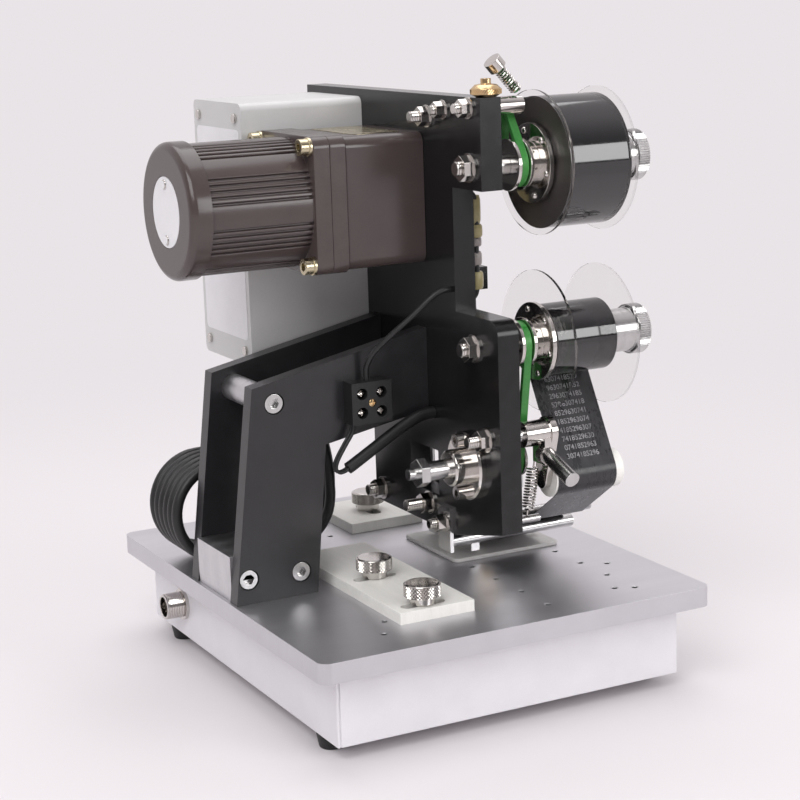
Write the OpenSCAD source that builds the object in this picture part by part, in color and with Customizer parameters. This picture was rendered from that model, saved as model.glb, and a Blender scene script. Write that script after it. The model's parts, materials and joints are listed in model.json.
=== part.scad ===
// Ribbon date coder: a motor-driven hot-stamping head on a desk base, with a
// ribbon supply reel above, a take-up reel below and adjustable bag stops.
// Millimetres. X points to the operator, Y to the operator's right as seen from
// behind, Z up. The origin lies on the standing plane under the middle of the
// whole machine, so the base stands half the motor's overhang in front of it.

/* [Base] */
// Depth of the base plate
base_x = 223; // [218:1:240]
// Width of the base plate
base_y = 270; // [260:1:290]
// Thickness of the base plate
base_t = 10.5; // [9:0.5:14]
// Corner radius of the base plate
base_corner = 6; // [3:1:10]
// Height of the box under the plate
box_h = 38; // [34:1:50]
// How far the box stands in from the plate's edges
box_inset = 13; // [10:1:18]
// Sheet thickness of the box
box_wall = 2; // [1.5:0.5:3]
// Height of the rubber feet
foot_h = 8; // [6:1:12]
// Top radius of a rubber foot
foot_r = 8; // [6:0.5:10]
// Distance between threaded holes in a row on the deck
hole_pitch = 26; // [24:1:28]
// Radius of the threaded deck holes
hole_r = 2.1; // [1.6:0.1:2.6]

/* [Column] */
// Width over the two column sides
column_w = 62; // [60:1:64]
// Thickness of each column side
side_t = 9; // [8:0.5:10]
// Width of the leg where it stands on the deck
leg_w = 46; // [44:1:48]
// Height of the top back corner above the deck
leg_h = 112; // [110:1:114]
// How far the leg leans forward over its height
leg_lean = 14; // [12:1:16]
// Reach from the back of the leg to the main plate
arm_reach = 114.5; // [112:0.5:118]
// Depth of the arm
arm_depth = 43.7; // [42:0.5:46]
// Height of the arm's lower end above the deck
arm_low = 89; // [87:1:91]
// Height of the aluminium foot block
block_h = 24; // [22:1:28]
// Radius of the upper spacer rod
spacer_r = 7; // [6:0.5:8]

/* [Main plate] */
// Thickness of the main plate
plate_t = 12; // [10:0.5:14]
// Height of the top edge above the deck
plate_top = 254; // [252:1:258]
// Height of the lower edge above the deck
plate_low = 26; // [24:1:28]
// Thickness of the nuts on the back of the plate
nut_h = 5; // [4:0.5:6]

/* [Motor] */
// Side of the square gear case
gear_w = 70; // [66:1:71]
// Length of the gear case without its flange
gear_len = 44.6; // [40:0.2:48]
// Thickness of each of the two flanges
flange_t = 9; // [7:0.5:11]
// Length of the ribbed motor body
motor_len = 55; // [50:1:60]
// Length of the motor end cap
cap_len = 11.6; // [10:0.2:14]
// Height of the motor axis above the deck
motor_z = 201; // [199:1:203]
// Radius of the output shaft
output_r = 6; // [5:0.5:7]
// Radius on which the crank pin turns
crank_throw = 8; // [6:0.5:9]

/* [Control box] */
// Depth of the control box
control_x = 71; // [65:1:76]
// Width of the control box
control_y = 66; // [60:1:68]
// Height of the control box
control_h = 141; // [136:1:144]
// Wall of the control box
control_wall = 2; // [1.5:0.5:3]

/* [Reels] */
// Radius of the clear reel discs
disc_r = 36.3; // [34:0.1:38]
// Thickness of a reel disc
disc_t = 1.6; // [1.2:0.2:2.4]
// Width of the ribbon
ribbon_w = 35; // [33:0.5:37]
// Radius of the full ribbon roll
roll_r = 33; // [28:0.5:34]
// Radius of the wound take-up ribbon
takeup_r = 18.5; // [16:0.5:22]
// Height of the upper reel axis above the deck
upper_z = 219.5; // [218:0.5:221]
// Height of the lower reel axis above the deck
lower_z = 129; // [128:0.5:131]
// Radius of the reel shafts
shaft_r = 5; // [4:0.5:6]
// Radius of the knurled reel knobs
knob_r = 12.5; // [11:0.5:14]

/* [Print head] */
// Travel of the print head
stroke = 16; // [12:1:16]
// Radius of the guide posts
post_r = 5; // [4:0.5:5.5]
// Distance between the guide posts
post_gap = 52; // [50:1:54]
// Width of the type across the ribbon's path
type_y = 16; // [12:1:18]
// Thickness of the print pad
pad_t = 2.5; // [1.5:0.5:3]

/* [Ribbon feed] */
// Radius of the white ribbon roller
roller_r = 10; // [8:0.5:10.5]
// Radius of the feed belt's drive pulley groove
drive_groove_r = 6; // [5:0.5:7]
// Radius of the round guide pins
pin_r = 3.5; // [3:0.25:4]
// Thickness of the ribbon film
film_t = 0.3; // [0.2:0.1:0.5]

/* [Stops] */
// Depth of the back stop
stop_x = 42; // [38:1:44]
// Length of the back stop
stop_y = 124; // [118:1:128]
// Thickness of the nylon stops
stop_t = 6; // [4:0.5:8]
// Half the travel of the stops
stop_travel = 8; // [6:1:9]
// Radius of the thumb nuts
thumb_r = 9; // [8:0.5:10]

/* [Hidden] */
$fn = 64;

// Clearances shared by every fit
run_gap = 0.05;
seat_gap = 0.3;
eps = 0.01;

// Levels and main planes
deck_z = foot_h + box_h + base_t;
column_inset = 1.5;
label_screw_h = 1;
motor_overhang = gear_len + 2 * flange_t + motor_len + cap_len + label_screw_h - arm_reach - column_inset;
base_mid_x = motor_overhang / 2;
column_x = base_mid_x - base_x / 2 + column_inset;
plate_x = column_x + arm_reach;
face_x = plate_x + plate_t;
side_in = column_w / 2 - side_t;
reel_y = -82;

// M6 cap screws that hold the frame together
screw_r = 3;
screw_head_r = 5;
screw_head_h = 6;
screw_hole_r = screw_r + 0.2;
well_r = screw_head_r + 0.5;
top_screw = [leg_lean + 12, leg_h - 9];
low_screws = [[7.5, 13], [37, 12.5]];
arm_screw_z = [arm_low + 9, arm_low + arm_depth - 9.5];
arm_screw_y = column_w / 2 - side_t / 2;
arm_screw_depth = 22;

// Motor train along X
gear_x = plate_x - gear_len;
gear_flange_x = gear_x - flange_t;
motor_flange_x = gear_flange_x - flange_t;
motor_x = motor_flange_x - motor_len;
cap_x = motor_x - cap_len;
motor_r = gear_w / 2;
nameplate_r = 18;
nameplate_t = 0.8;

// Crank and yoke
crank_disc_r = 14;
crank_disc_t = 7;
crank_x = face_x + 1;
crank_pin_r = 4;
crank_pin_len = 11;
yoke_slack = 2.2;
yoke_x = crank_x + crank_disc_t + 1.5;
yoke_t = 9;

// Reels along X, from the near pulley flange to the knob
pulley_x = face_x + 8.5;
pulley_flange_t = 2;
belt_w = 4.4;
groove_w = belt_w + 0.6;
hub_flange_x = face_x + 22;
near_disc_x = hub_flange_x + 2.4;
ribbon_x = near_disc_x + disc_t + 0.3;
far_disc_x = ribbon_x + ribbon_w + 0.3;
knob_hub_x = far_disc_x + disc_t + 0.2;
knob_x = knob_hub_x + 15.5;
knob_t = 8;
sleeve_r = 12.5;
hub_flange_r = 20;
pulley_r = 13;
groove_r = 8.5;
belt_t = 2.6;

// Brake rod over the upper reel and the drive shaft below the lower reel
brake_y = reel_y - 0.5;
brake_z = plate_top - 5.2;
brake_rod_r = 4.7;
drive_y = reel_y + 8;
drive_z = lower_z - 61.7;
drive_flange_r = drive_groove_r + 3.5;

// Feed lever
lever_y = reel_y - 11;
lever_z = lower_z - 45;
lever_hub_r = 6.7;
lever_pin_r = 4;
lever_x = face_x + 7.5;
lever_hub_len = 14;
arm_x = lever_x + lever_hub_len;
arm_t = 3.5;
roller_y = lever_y + 5;
roller_z = lever_z - 26;
roller_x = arm_x + arm_t + 0.3;
roller_len = 41;
axle_r = 3;
lever_block = [4, 12, 14];
block_top_z = lever_z - 2;
block_y = lever_y - 6.5;
spring_y = lever_y + 4.5;
spring_x = arm_x - 3.8;
anchor_z = lower_z - 91;
anchor_r = 2;

// Guide pins of the ribbon: [y, z, radius]
pin_end_x = face_x + 66;
pin_over = [-63, 33, pin_r];
pin_strip = [-45, 19.4, pin_r];
pin_top = [56, 208, pin_r];
low_pin_r = 2.5;
low_pin_z = 7;
head_y = 6;
low_pin_off = type_y / 2 + low_pin_r + 4.5;
pin_near = [head_y - low_pin_off, low_pin_z, low_pin_r];
pin_far = [head_y + low_pin_off, low_pin_z, low_pin_r];
hanger_t = 5;
hanger_half = 4.2;
// The strip pin hangs from a sheet bracket on the back of the plate
bracket_t = 2;
bracket_w = 13;
bracket_h = 24;
bracket_nut_y = pin_strip[0] - 5;

// Print head
post_x = face_x + 15.5;
post_low = 28;
post_top = 162;
holder_h = 12;
holder_w = 18;
slide_low = 80;
slide_h = 50;
slide_depth = 16;
head_plate_z = 60;
head_plate_t = 6;
head_front = far_disc_x - 0.5;
heater_x = ribbon_x + 1.5;
heater_len = ribbon_w - 3;
heater_h = 26;
heater_z = head_plate_z - 4 - heater_h;
type_h = 9;
film_gap = 0.2;
type_z = heater_z - type_h;

// Bag stops, held by thumb nuts on studs in the deck
stop_stud_x = -36;
stop_y0 = 32 - base_y / 2;
stop_stud_y = [stop_y0 + 8.5, stop_y0 + 62];
stop_x0 = stop_stud_x - 17;
slot_half_w = screw_r + 0.5;
side_stop_size = [46, 50];
side_stud_at = [22, 82];
collar_r = 6.5;
collar_h = 4;
thumb_h = 7;
stud_depth = 8;
nut_lift = 0.1;
nut_bore = collar_h + 3.5;
stud_top = stop_t + nut_lift + nut_bore - 0.4;
stud_at = [[stop_stud_x, stop_stud_y[0]], [stop_stud_x, stop_stud_y[1]], side_stud_at];

// Control box
control_x0 = plate_x - control_x;
control_y0 = gear_w / 2 + 1;
control_z0 = plate_top - 4 - control_h;
wing_y = control_y0 + control_y + 3;
panel_y = control_y0 + control_y / 2;
switch_z = plate_top - 30;
temperature_z = plate_top - 66;
speed_z = plate_top - 102;
dial_r = 11;
dial_h = 14;
dial_shaft_r = 3;
rocker = [14, 24];
rocker_depth = 7;

// Power cord: gland, hanging lead, hank standing on the deck, tie and plug
cord_r = 3;
gland_h = 24;
gland_nut_h = 4;
gland_stub_r = 5;
tie_t = 1.6;
tie_w = 8;
hank_loops = 6;
hank_r = 26;
hank_half_x = 45;
hank_pitch = 6.6;
hank_x = column_x + 42;
hank_y0 = column_w / 2 + 6.5;
hank_z = hank_r + cord_r + tie_t + 0.2;
loop_steps = 24;
gland_at = [hank_x + hank_half_x - 1, hank_y0 + 9];
gland_z = control_z0 - gland_h;
lead_low = hank_z + 2 * cord_r;
lead_route = [[0, 0, gland_z], [0, 0, 76], [0.2, -1.6, 68], [0.5, -4.5, 60], [0.8, -7.4, 52], [1, -9, 44],
    [1, -9, lead_low]];
plug_r = 13;
plug_z = plug_r + 0.1;
tail_r = hank_z - plug_z;
tail_step = 18;

// Round forms swept along a list of points, as rings of a closed tube
function unit(v) = v / norm(v);
function clamp_index(p, i) = p[max(0, min(len(p) - 1, i))];
function heading(p, i) = unit(clamp_index(p, i + 1) - clamp_index(p, i - 1));
function level(v, t) = unit(v - (v * t) * t);
function rings(p, r, sides, side0) = [
    for (i = 0, t = heading(p, 0), a = level(side0, t); i < len(p);
         i = i + 1, t = heading(p, i), a = level(a, t))
        let (b = cross(t, a))
        [for (k = [0 : sides - 1]) p[i] + r * (cos(360 * k / sides) * a + sin(360 * k / sides) * b)]];
function flat(l) = [for (row = l) for (item = row) item];
module tube(p, r, sides = 8, side0 = [0.31, 0.87, 0.23]) {
    n = len(p);
    walls = [for (i = [0 : n - 2]) for (k = [0 : sides - 1])
        let (j = (k + 1) % sides, a = i * sides, b = a + sides)
        each [[a + k, b + j, a + j], [a + k, b + k, b + j]]];
    near_end = [for (k = [1 : sides - 2]) [0, k, k + 1]];
    far_end = [for (k = [1 : sides - 2]) [(n - 1) * sides, (n - 1) * sides + k + 1, (n - 1) * sides + k]];
    polyhedron(flat(rings(p, r, sides, side0)), concat(walls, near_end, far_end));
}
// Least clear distance of a tube to itself, between points at least `apart` steps away
function least_gap(p, r, apart) = min([for (i = [0 : len(p) - 1 - apart]) for (j = [i + apart : len(p) - 1])
    norm(p[i] - p[j])]) - 2 * r;

// A coil spring along Z: straight ends, and turns that close up to the axis at both ends
spring_steps = 8;
function coil(turns, r, length, lead) =
    let (n = turns * spring_steps, rise = (length - 2 * lead) / n)
    concat([[0, 0, 0]], [for (i = [0 : n])
        let (ease = min(1, min(i, n - i) / 4))
        [ease * r * cos(360 * i / spring_steps), ease * r * sin(360 * i / spring_steps), lead + i * rise]],
        [[0, 0, length]]);

// Sections and rods
module rounded(w, h, r) {
    square([w - 2 * r, h], center = true);
    square([w, h - 2 * r], center = true);
    for (sx = [-1, 1]) for (sy = [-1, 1])
        translate([sx * (w / 2 - r), sy * (h / 2 - r)]) circle(r);
}
module slot2d(half_len, r) {
    square([2 * half_len, 2 * r], center = true);
    for (s = [-1, 1]) translate([s * half_len, 0]) circle(r);
}
// A drawing of X and Z made into a plate from y0 on, or of Y and Z from x0 on
module xz_plate(y0, t) {
    translate([0, y0 + t, 0]) rotate([90, 0, 0]) linear_extrude(t) children();
}
module yz_plate(x0, t) {
    translate([x0, 0, 0]) rotate([90, 0, 90]) linear_extrude(t) children();
}
module x_rod(r, x0, x1, y, z) {
    translate([x0, y, z]) rotate([0, 90, 0]) cylinder(r = r, h = x1 - x0);
}
module y_rod(r, y0, y1, x, z) {
    translate([x, y1, z]) rotate([90, 0, 0]) cylinder(r = r, h = y1 - y0);
}
module x_turned(x, y, z) {
    translate([x, y, z]) rotate([0, 90, 0]) rotate_extrude() children();
}
// Outline of a belt round two circles: an arc round each, joined by the tangents
function arc(c, r, a0, a1, n = 30) = [for (i = [0 : n])
    let (a = a0 + (a1 - a0) * i / n) c + r * [cos(a), sin(a)]];
module loop2d(c1, r1, c2, r2) {
    d = c2 - c1;
    a = atan2(d[1], d[0]);
    lean = acos((r1 - r2) / norm(d));
    polygon(concat(arc(c1, r1, a + lean, a + 360 - lean), arc(c2, r2, a - lean, a + lean)));
}
// A nut with its washer and stud end on the back of the main plate, or lifted off it by a bracket
washer_t = 1.2;
module plate_nut(y, z, size, stud, lift = 0) {
    nut_x = plate_x - lift - washer_t - nut_h;
    x_rod(size + 0.8, plate_x - lift - washer_t, plate_x - lift, y, z);
    translate([nut_x, y, z]) rotate([0, 90, 0]) cylinder(r = size, h = nut_h, $fn = 6);
    x_rod(size * 0.52, nut_x - stud, nut_x, y, z);
}
// A cap screw along +Z from the underside of its head, with a hex socket
module cap_screw(len, r = screw_r, head_r = screw_head_r, head_h = screw_head_h) {
    translate([0, 0, -len]) cylinder(r = r, h = len);
    difference() {
        cylinder(r = head_r, h = head_h);
        translate([0, 0, head_h * 0.45]) cylinder(r = head_r * 0.55, h = head_h, $fn = 6);
    }
}

// Base: sheet box, feet, deck plate and the foot-switch socket
box_x = base_x - 2 * box_inset;
box_y = base_y - 2 * box_inset;
socket_y = base_y / 2 - 58;
socket_z = foot_h + box_h * 0.5;
socket_r = 7;
module at_base() {
    translate([base_mid_x, 0, 0]) children();
}
module base_box() {
    color("gainsboro") at_base() difference() {
        translate([-box_x / 2, -box_y / 2, foot_h]) cube([box_x, box_y, box_h]);
        translate([-box_x / 2 + box_wall, -box_y / 2 + box_wall, foot_h + box_wall])
            cube([box_x - 2 * box_wall, box_y - 2 * box_wall, box_h]);
        x_rod(socket_r, -box_x / 2 - 1, -box_x / 2 + box_wall + 1, socket_y, socket_z);
        translate([-box_x / 2 + 1.2, -box_y / 2 - 1, foot_h - 1]) cube([0.8, 1.8, box_h + 2]);
    }
}
module rubber_feet() {
    color("#181818") at_base() for (sx = [-1, 1]) for (sy = [-1, 1])
        translate([sx * (box_x / 2 - foot_r), sy * (box_y / 2 - 3 * foot_r), 0])
            cylinder(r1 = foot_r - 1.5, r2 = foot_r, h = foot_h);
}
hole_rows_x = [25, 77.5];
row_start_y = 36.5;
edge_hole_y = 25 - base_y / 2;
single_holes = [[-57, edge_hole_y + 17], [-66, edge_hole_y], [89, -71], [68, edge_hole_y], [-13, 61]];
module deck_holes() {
    for (x = hole_rows_x) for (k = [0 : 3]) translate([x, -row_start_y - k * hole_pitch]) circle(hole_r);
    for (p = single_holes) translate(p) circle(hole_r);
    for (y = stop_stud_y) translate([stop_stud_x, y]) circle(screw_r + run_gap);
    translate(side_stud_at) circle(screw_r + run_gap);
}
module base_plate() {
    color("silver") at_base() translate([0, 0, deck_z - base_t]) linear_extrude(base_t) difference() {
        rounded(base_x, base_y, base_corner);
        deck_holes();
    }
}
module foot_switch_socket() {
    color("lightgray") at_base() {
        translate([-box_x / 2, socket_y, socket_z]) rotate([0, -90, 0]) rotate_extrude()
            polygon([[0, -box_wall - 4], [socket_r - 0.2, -box_wall - 4], [socket_r - 0.2, 0],
                [socket_r + 2, 0], [socket_r + 2, 2], [socket_r, 2], [socket_r, 12],
                [socket_r - 1.4, 12], [socket_r - 1.4, 5], [0, 5]]);
        for (k = [0 : 3]) x_rod(0.8, -box_x / 2 - 7.4, -box_x / 2 - 5,
            socket_y + 2.8 * cos(90 * k + 45), socket_z + 2.8 * sin(90 * k + 45));
    }
}

// Column: two boomerang sides, their spacers and screws
module column_outline() {
    translate([column_x, deck_z]) polygon([[0, 0], [leg_w, 0], [leg_w + 8, arm_low - 11],
        [arm_reach, arm_low], [arm_reach, arm_low + arm_depth], [leg_lean, leg_h]]);
}
module at_column_screws() {
    for (p = concat([top_screw], low_screws)) translate([column_x + p[0], 0, deck_z + p[1]]) children();
}
module column_side(s) {
    color("#3a393c") difference() {
        xz_plate(s > 0 ? side_in : -column_w / 2, side_t) column_outline();
        at_column_screws() {
            y_rod(screw_hole_r, -column_w, column_w, 0, 0);
            if (s > 0) y_rod(well_r, column_w / 2 - screw_head_h, column_w, 0, 0);
            else y_rod(well_r, -column_w, -column_w / 2 + screw_head_h, 0, 0);
        }
        for (z = arm_screw_z)
            x_rod(screw_hole_r, plate_x - arm_screw_depth, plate_x + 1, s * arm_screw_y, deck_z + z);
    }
}
module column_side_near() column_side(-1);
module column_side_far() column_side(1);
module column_spacers() {
    color("lightgray") difference() {
        union() {
            translate([column_x + 0.8, -side_in, deck_z]) cube([leg_w - 3, 2 * side_in, block_h]);
            y_rod(spacer_r, -side_in, side_in, column_x + top_screw[0], deck_z + top_screw[1]);
        }
        at_column_screws() y_rod(screw_hole_r, -column_w, column_w, 0, 0);
    }
}
module frame_screws() {
    color("dimgray") {
        for (s = [-1, 1]) at_column_screws()
            translate([0, s * (column_w / 2 - screw_head_h), 0]) rotate([-90 * s, 0, 0])
                cap_screw(side_t + 8 - screw_head_h, head_h = screw_head_h - 0.5);
        for (s = [-1, 1]) for (z = arm_screw_z)
            translate([face_x - screw_head_h, s * arm_screw_y, deck_z + z]) rotate([0, 90, 0])
                cap_screw(plate_t - screw_head_h + arm_screw_depth - 2, head_h = screw_head_h - 0.5);
        for (at = stud_at) at_base() translate([at[0], at[1], deck_z - stud_depth])
            cylinder(r = screw_r, h = stud_depth + stud_top);
    }
}

// Main plate: C-shaped, with the reel block above, the feed block below and the control wing
ledge_z = lower_z + 16.5;
reel_block_y = reel_y - 11;
feed_block_y = reel_y - 23.5;
neck_y = reel_y + 18.6;
ledge_r = 8;
window = [-40, 44, 31, 24];
module plate_outline() {
    far = column_w / 2 + 3.5;
    wing_z = control_z0 - 5;
    polygon(concat(
        [[far, plate_low], [far, wing_z], [wing_y, wing_z], [wing_y, plate_top],
         [reel_block_y, plate_top], [reel_block_y, plate_top - 45.5], [neck_y, plate_top - 45.5],
         [neck_y, ledge_z]],
        [for (a = [90 : 15 : 180])
            [feed_block_y + ledge_r * (1 + cos(a)), ledge_z - ledge_r * (1 - sin(a))]],
        [[feed_block_y, plate_low + 11], [feed_block_y + 49, plate_low]]));
}
module main_plate() {
    color("#202022") difference() {
        yz_plate(plate_x, plate_t) translate([0, deck_z]) plate_outline();
        yz_plate(plate_x - 1, plate_t + 2) translate([window[0], deck_z + window[1]])
            square([window[2], window[3]]);
        for (z = [upper_z, lower_z]) x_rod(shaft_r + run_gap, plate_x - 1, face_x + 1, reel_y, deck_z + z);
        x_rod(shaft_r + run_gap, plate_x - 1, face_x + 1, drive_y, deck_z + drive_z);
        x_rod(output_r + 2, plate_x - 1, face_x + 1, 0, deck_z + motor_z);
        for (s = [-1, 1]) for (z = arm_screw_z) {
            x_rod(screw_hole_r, plate_x - 1, face_x + 1, s * arm_screw_y, deck_z + z);
            x_rod(well_r, face_x - screw_head_h, face_x + 1, s * arm_screw_y, deck_z + z);
        }
        for (z = [temperature_z, speed_z])
            x_rod(dial_shaft_r + run_gap, face_x - 8, face_x + 1, panel_y, deck_z + z);
        translate([face_x - rocker_depth, panel_y - rocker[0] / 2, deck_z + switch_z - rocker[1] / 2])
            cube([rocker_depth + 1, rocker[0], rocker[1]]);
        translate([plate_x + plate_t / 2, brass_y, deck_z + plate_top - brass_pin_len - 1])
            cylinder(r = brass_pin_r + run_gap, h = brass_pin_len + 2);
    }
}
// Nuts on the back of the plate: [y, z, nut radius, stud length]
plate_nuts = [[-40, plate_top - 11, 5, 5], [-57, plate_top - 7, 4.2, 2], [brake_y, brake_z, 4.6, 3],
    [reel_y, upper_z, 6.5, 2.5], [reel_y, lower_z, 6.5, 2.5], [lever_y, lever_z, 5.5, 6],
    [-30, plate_low + 12, 5.5, 9], [25, plate_low + 8, 5.5, 4]];
shell_screw_in = 8;
module plate_fasteners() {
    color("lightgray") {
        for (p = plate_nuts) plate_nut(p[0], deck_z + p[1], p[2], p[3]);
        plate_nut(bracket_nut_y, deck_z + plate_low + 6, 4.6, 4, bracket_t);
        for (sy = [-1, 1]) for (sz = [-1, 1])
            x_rod(2.6, control_x0 - 1.4, control_x0, panel_y + sy * (control_y / 2 - shell_screw_in),
                deck_z + control_z0 + control_h / 2 + sz * (control_h / 2 - shell_screw_in));
    }
}

// Gear motor: gear case, ribbed body, end cap, round plate and flange screws
case_corner = 6;
module at_motor2d() {
    translate([0, deck_z + motor_z]) children();
}
module gearbox() {
    color("#4b4442") difference() {
        union() {
            yz_plate(gear_x - flange_t / 2, gear_len + flange_t / 2) at_motor2d()
                rounded(gear_w - 2, gear_w - 2, case_corner);
            yz_plate(gear_flange_x, flange_t) at_motor2d() rounded(gear_w, gear_w, case_corner);
        }
        x_rod(output_r + run_gap, gear_x - 2, plate_x + 1, 0, deck_z + motor_z);
        at_flange_corners() x_rod(screw_hole_r, gear_flange_x - 1, gear_x - 1, 0, 0);
    }
}
flange_screw_off = gear_w / 2 - 5;
module at_flange_corners() {
    for (sy = [-1, 1]) for (sz = [-1, 1])
        translate([0, sy * flange_screw_off, deck_z + motor_z + sz * flange_screw_off]) children();
}
// Ribs stand in eight groups of four, with smooth bands between them
rib_groups = 8;
ribs_per_group = 4;
rib_pitch = 5.5;
rib_start = 14;
rib_depth = 1.6;
rib_gap = 1.7;
module ribbed_outline() {
    high = motor_r - 1.5;
    difference() {
        circle(high);
        for (g = [0 : rib_groups - 1]) for (k = [0 : ribs_per_group])
            rotate(rib_start + g * 360 / rib_groups + k * rib_pitch)
                polygon([[high - rib_depth, -rib_gap / 3], [high + 1, -rib_gap / 2],
                    [high + 1, rib_gap / 2], [high - rib_depth, rib_gap / 3]]);
    }
}
module motor_body() {
    color("#524a48") difference() {
        union() {
            yz_plate(motor_x, motor_len + flange_t / 2) at_motor2d() ribbed_outline();
            yz_plate(motor_flange_x, flange_t) at_motor2d() rounded(gear_w, gear_w, case_corner);
        }
        at_flange_corners() x_rod(screw_hole_r, motor_flange_x - 1, gear_flange_x + 1, 0, 0);
    }
}
cap_round = 4;
module motor_end_cap() {
    color("#6a605e") translate([motor_x, 0, deck_z + motor_z]) rotate([0, -90, 0])
    rotate_extrude() difference() {
        union() {
            square([motor_r - cap_round, cap_len]);
            square([motor_r, cap_len - cap_round]);
            translate([motor_r - cap_round, cap_len - cap_round]) circle(cap_round);
        }
        translate([0, cap_len - nameplate_t]) square([nameplate_r + 0.2, 2]);
        translate([0, -cap_round - 1]) square([2 * motor_r, cap_round + 1]);
    }
}
module motor_nameplate() {
    color("whitesmoke") {
        x_rod(nameplate_r, cap_x, cap_x + nameplate_t, 0, deck_z + motor_z);
        for (s = [-1, 1]) x_rod(2, cap_x - label_screw_h, cap_x, 0, deck_z + motor_z + s * 14);
    }
}
module gearbox_screws() {
    color("#c8a050") at_flange_corners() translate([motor_flange_x, 0, 0]) {
        x_rod(4.8, -1.6, 0, 0, 0);
        translate([-1.6, 0, 0]) rotate([0, -90, 0]) cap_screw(0.5, 2.5, 4.2, 4.5);
        x_rod(2.6, 0, 2 * flange_t - 2, 0, 0);
    }
}
module crank() {
    color("silver") {
        x_rod(output_r, gear_x, crank_x + 1, 0, deck_z + motor_z);
        x_rod(crank_disc_r, crank_x, crank_x + crank_disc_t, 0, deck_z + motor_z);
        x_rod(crank_pin_r, crank_x + 1, crank_x + crank_disc_t + crank_pin_len, 0,
            deck_z + motor_z + crank_throw);
    }
}

// Control box on the back of the wing, with its switch and dials on the front
shell_corner = 4;
module control_box() {
    middle = [panel_y, deck_z + control_z0 + control_h / 2];
    color("#bebdbb") difference() {
        yz_plate(control_x0, control_x) translate(middle) rounded(control_y, control_h, shell_corner);
        yz_plate(control_x0 + control_wall, control_x) translate(middle)
            rounded(control_y - 2 * control_wall, control_h - 2 * control_wall, shell_corner - 1.5);
        translate([gland_at[0], gland_at[1], deck_z + control_z0 - 1])
            cylinder(r = gland_stub_r + 0.2, h = control_wall + 2);
    }
}
rocker_gap = 0.5;
rocker_pin_r = 1.5;
rocker_pin_in = 2;
module power_switch() {
    color("#151515") xz_plate(panel_y - rocker[0] / 2 + rocker_gap, rocker[0] - 2 * rocker_gap)
        translate([face_x, deck_z + switch_z])
            polygon([[-5, -6], [0.5, -10.5], [3.5, -10], [1.2, 0], [3.5, 10], [0.5, 10.5], [-5, 6]]);
    color("#151515") y_rod(rocker_pin_r, panel_y - rocker[0] / 2 + 0.1, panel_y + rocker[0] / 2 - 0.1,
        face_x - rocker_pin_in, deck_z + switch_z);
}
module dial(z) {
    color("#1a1a1a") {
        x_rod(dial_shaft_r, face_x - 7, face_x + seat_gap, panel_y, deck_z + z);
        difference() {
            x_turned(face_x + seat_gap, panel_y, deck_z + z)
                polygon([[0, 0], [dial_r + 2, 0], [dial_r + 2, 2.5], [dial_r, 4], [dial_r - 1, dial_h],
                    [0, dial_h]]);
            translate([face_x + dial_h - 1, panel_y - 0.8, deck_z + z]) cube([3, 1.6, dial_r + 3]);
        }
    }
}
module temperature_knob() dial(temperature_z);
module speed_knob() dial(speed_z);

// Reels: fixed shafts, pulley hubs, clear discs, ribbon windings and knurled knobs
module reel_shafts() {
    color("silver") for (z = [upper_z, lower_z])
        x_rod(shaft_r, plate_x, knob_x + knob_t - 2, reel_y, deck_z + z);
}
module reel_hub(z) {
    bore = shaft_r + run_gap;
    groove_x = pulley_flange_t + groove_w;
    flange_x = hub_flange_x - pulley_x;
    end = far_disc_x + disc_t - pulley_x;
    color("lightgray") x_turned(pulley_x, reel_y, deck_z + z)
        polygon([[bore, 0], [pulley_r, 0], [pulley_r, pulley_flange_t], [groove_r, pulley_flange_t],
            [groove_r, groove_x], [pulley_r, groove_x], [pulley_r, groove_x + 2],
            [pulley_r - 2, groove_x + 3], [pulley_r - 2, flange_x], [hub_flange_r, flange_x],
            [hub_flange_r, near_disc_x - pulley_x], [sleeve_r, near_disc_x - pulley_x], [sleeve_r, end],
            [bore, end]]);
}
module upper_hub() reel_hub(upper_z);
module lower_hub() reel_hub(lower_z);
module reel_discs(z) {
    color([0.85, 0.85, 0.85, 0.35]) for (x = [near_disc_x, far_disc_x]) difference() {
        x_rod(disc_r, x, x + disc_t, reel_y, deck_z + z);
        x_rod(sleeve_r, x - 1, x + disc_t + 1, reel_y, deck_z + z);
    }
}
module upper_discs() reel_discs(upper_z);
module lower_discs() reel_discs(lower_z);
module winding(z, r) {
    x_turned(ribbon_x, reel_y, deck_z + z) translate([sleeve_r, 0]) square([r - sleeve_r, ribbon_w]);
}
module ribbon_roll() color("#101012") winding(upper_z, roll_r);
module takeup_core() color("#161618") winding(lower_z, takeup_r);
module reel_knob(z) {
    bore = shaft_r + run_gap;
    neck = knob_x - knob_hub_x;
    end = neck + knob_t;
    color("lightgray") x_turned(knob_hub_x, reel_y, deck_z + z)
        polygon([[bore, 0], [knob_r - 1.2, 0], [knob_r - 1.2, neck], [knob_r, neck + 1], [knob_r, end - 1],
            [knob_r - 1, end], [0, end], [0, end - 1.5], [bore, end - 1.5]]);
}
module upper_knob() reel_knob(upper_z);
module lower_knob() reel_knob(lower_z);

// Supply brake: a band round the upper pulley, held behind a fixed rod, with a spring and a round nut
brake_x = pulley_x + pulley_flange_t + groove_w / 2;
brake_lean = 42;
brake_spring_r = 2.7;
brake_wire_r = 0.45;
brake_spring_len = 15.5;
brake_core_r = 1.9;
brake_turns = 9;
brake_nut_r = 4.7;
brake_nut_h = 5.5;
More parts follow.
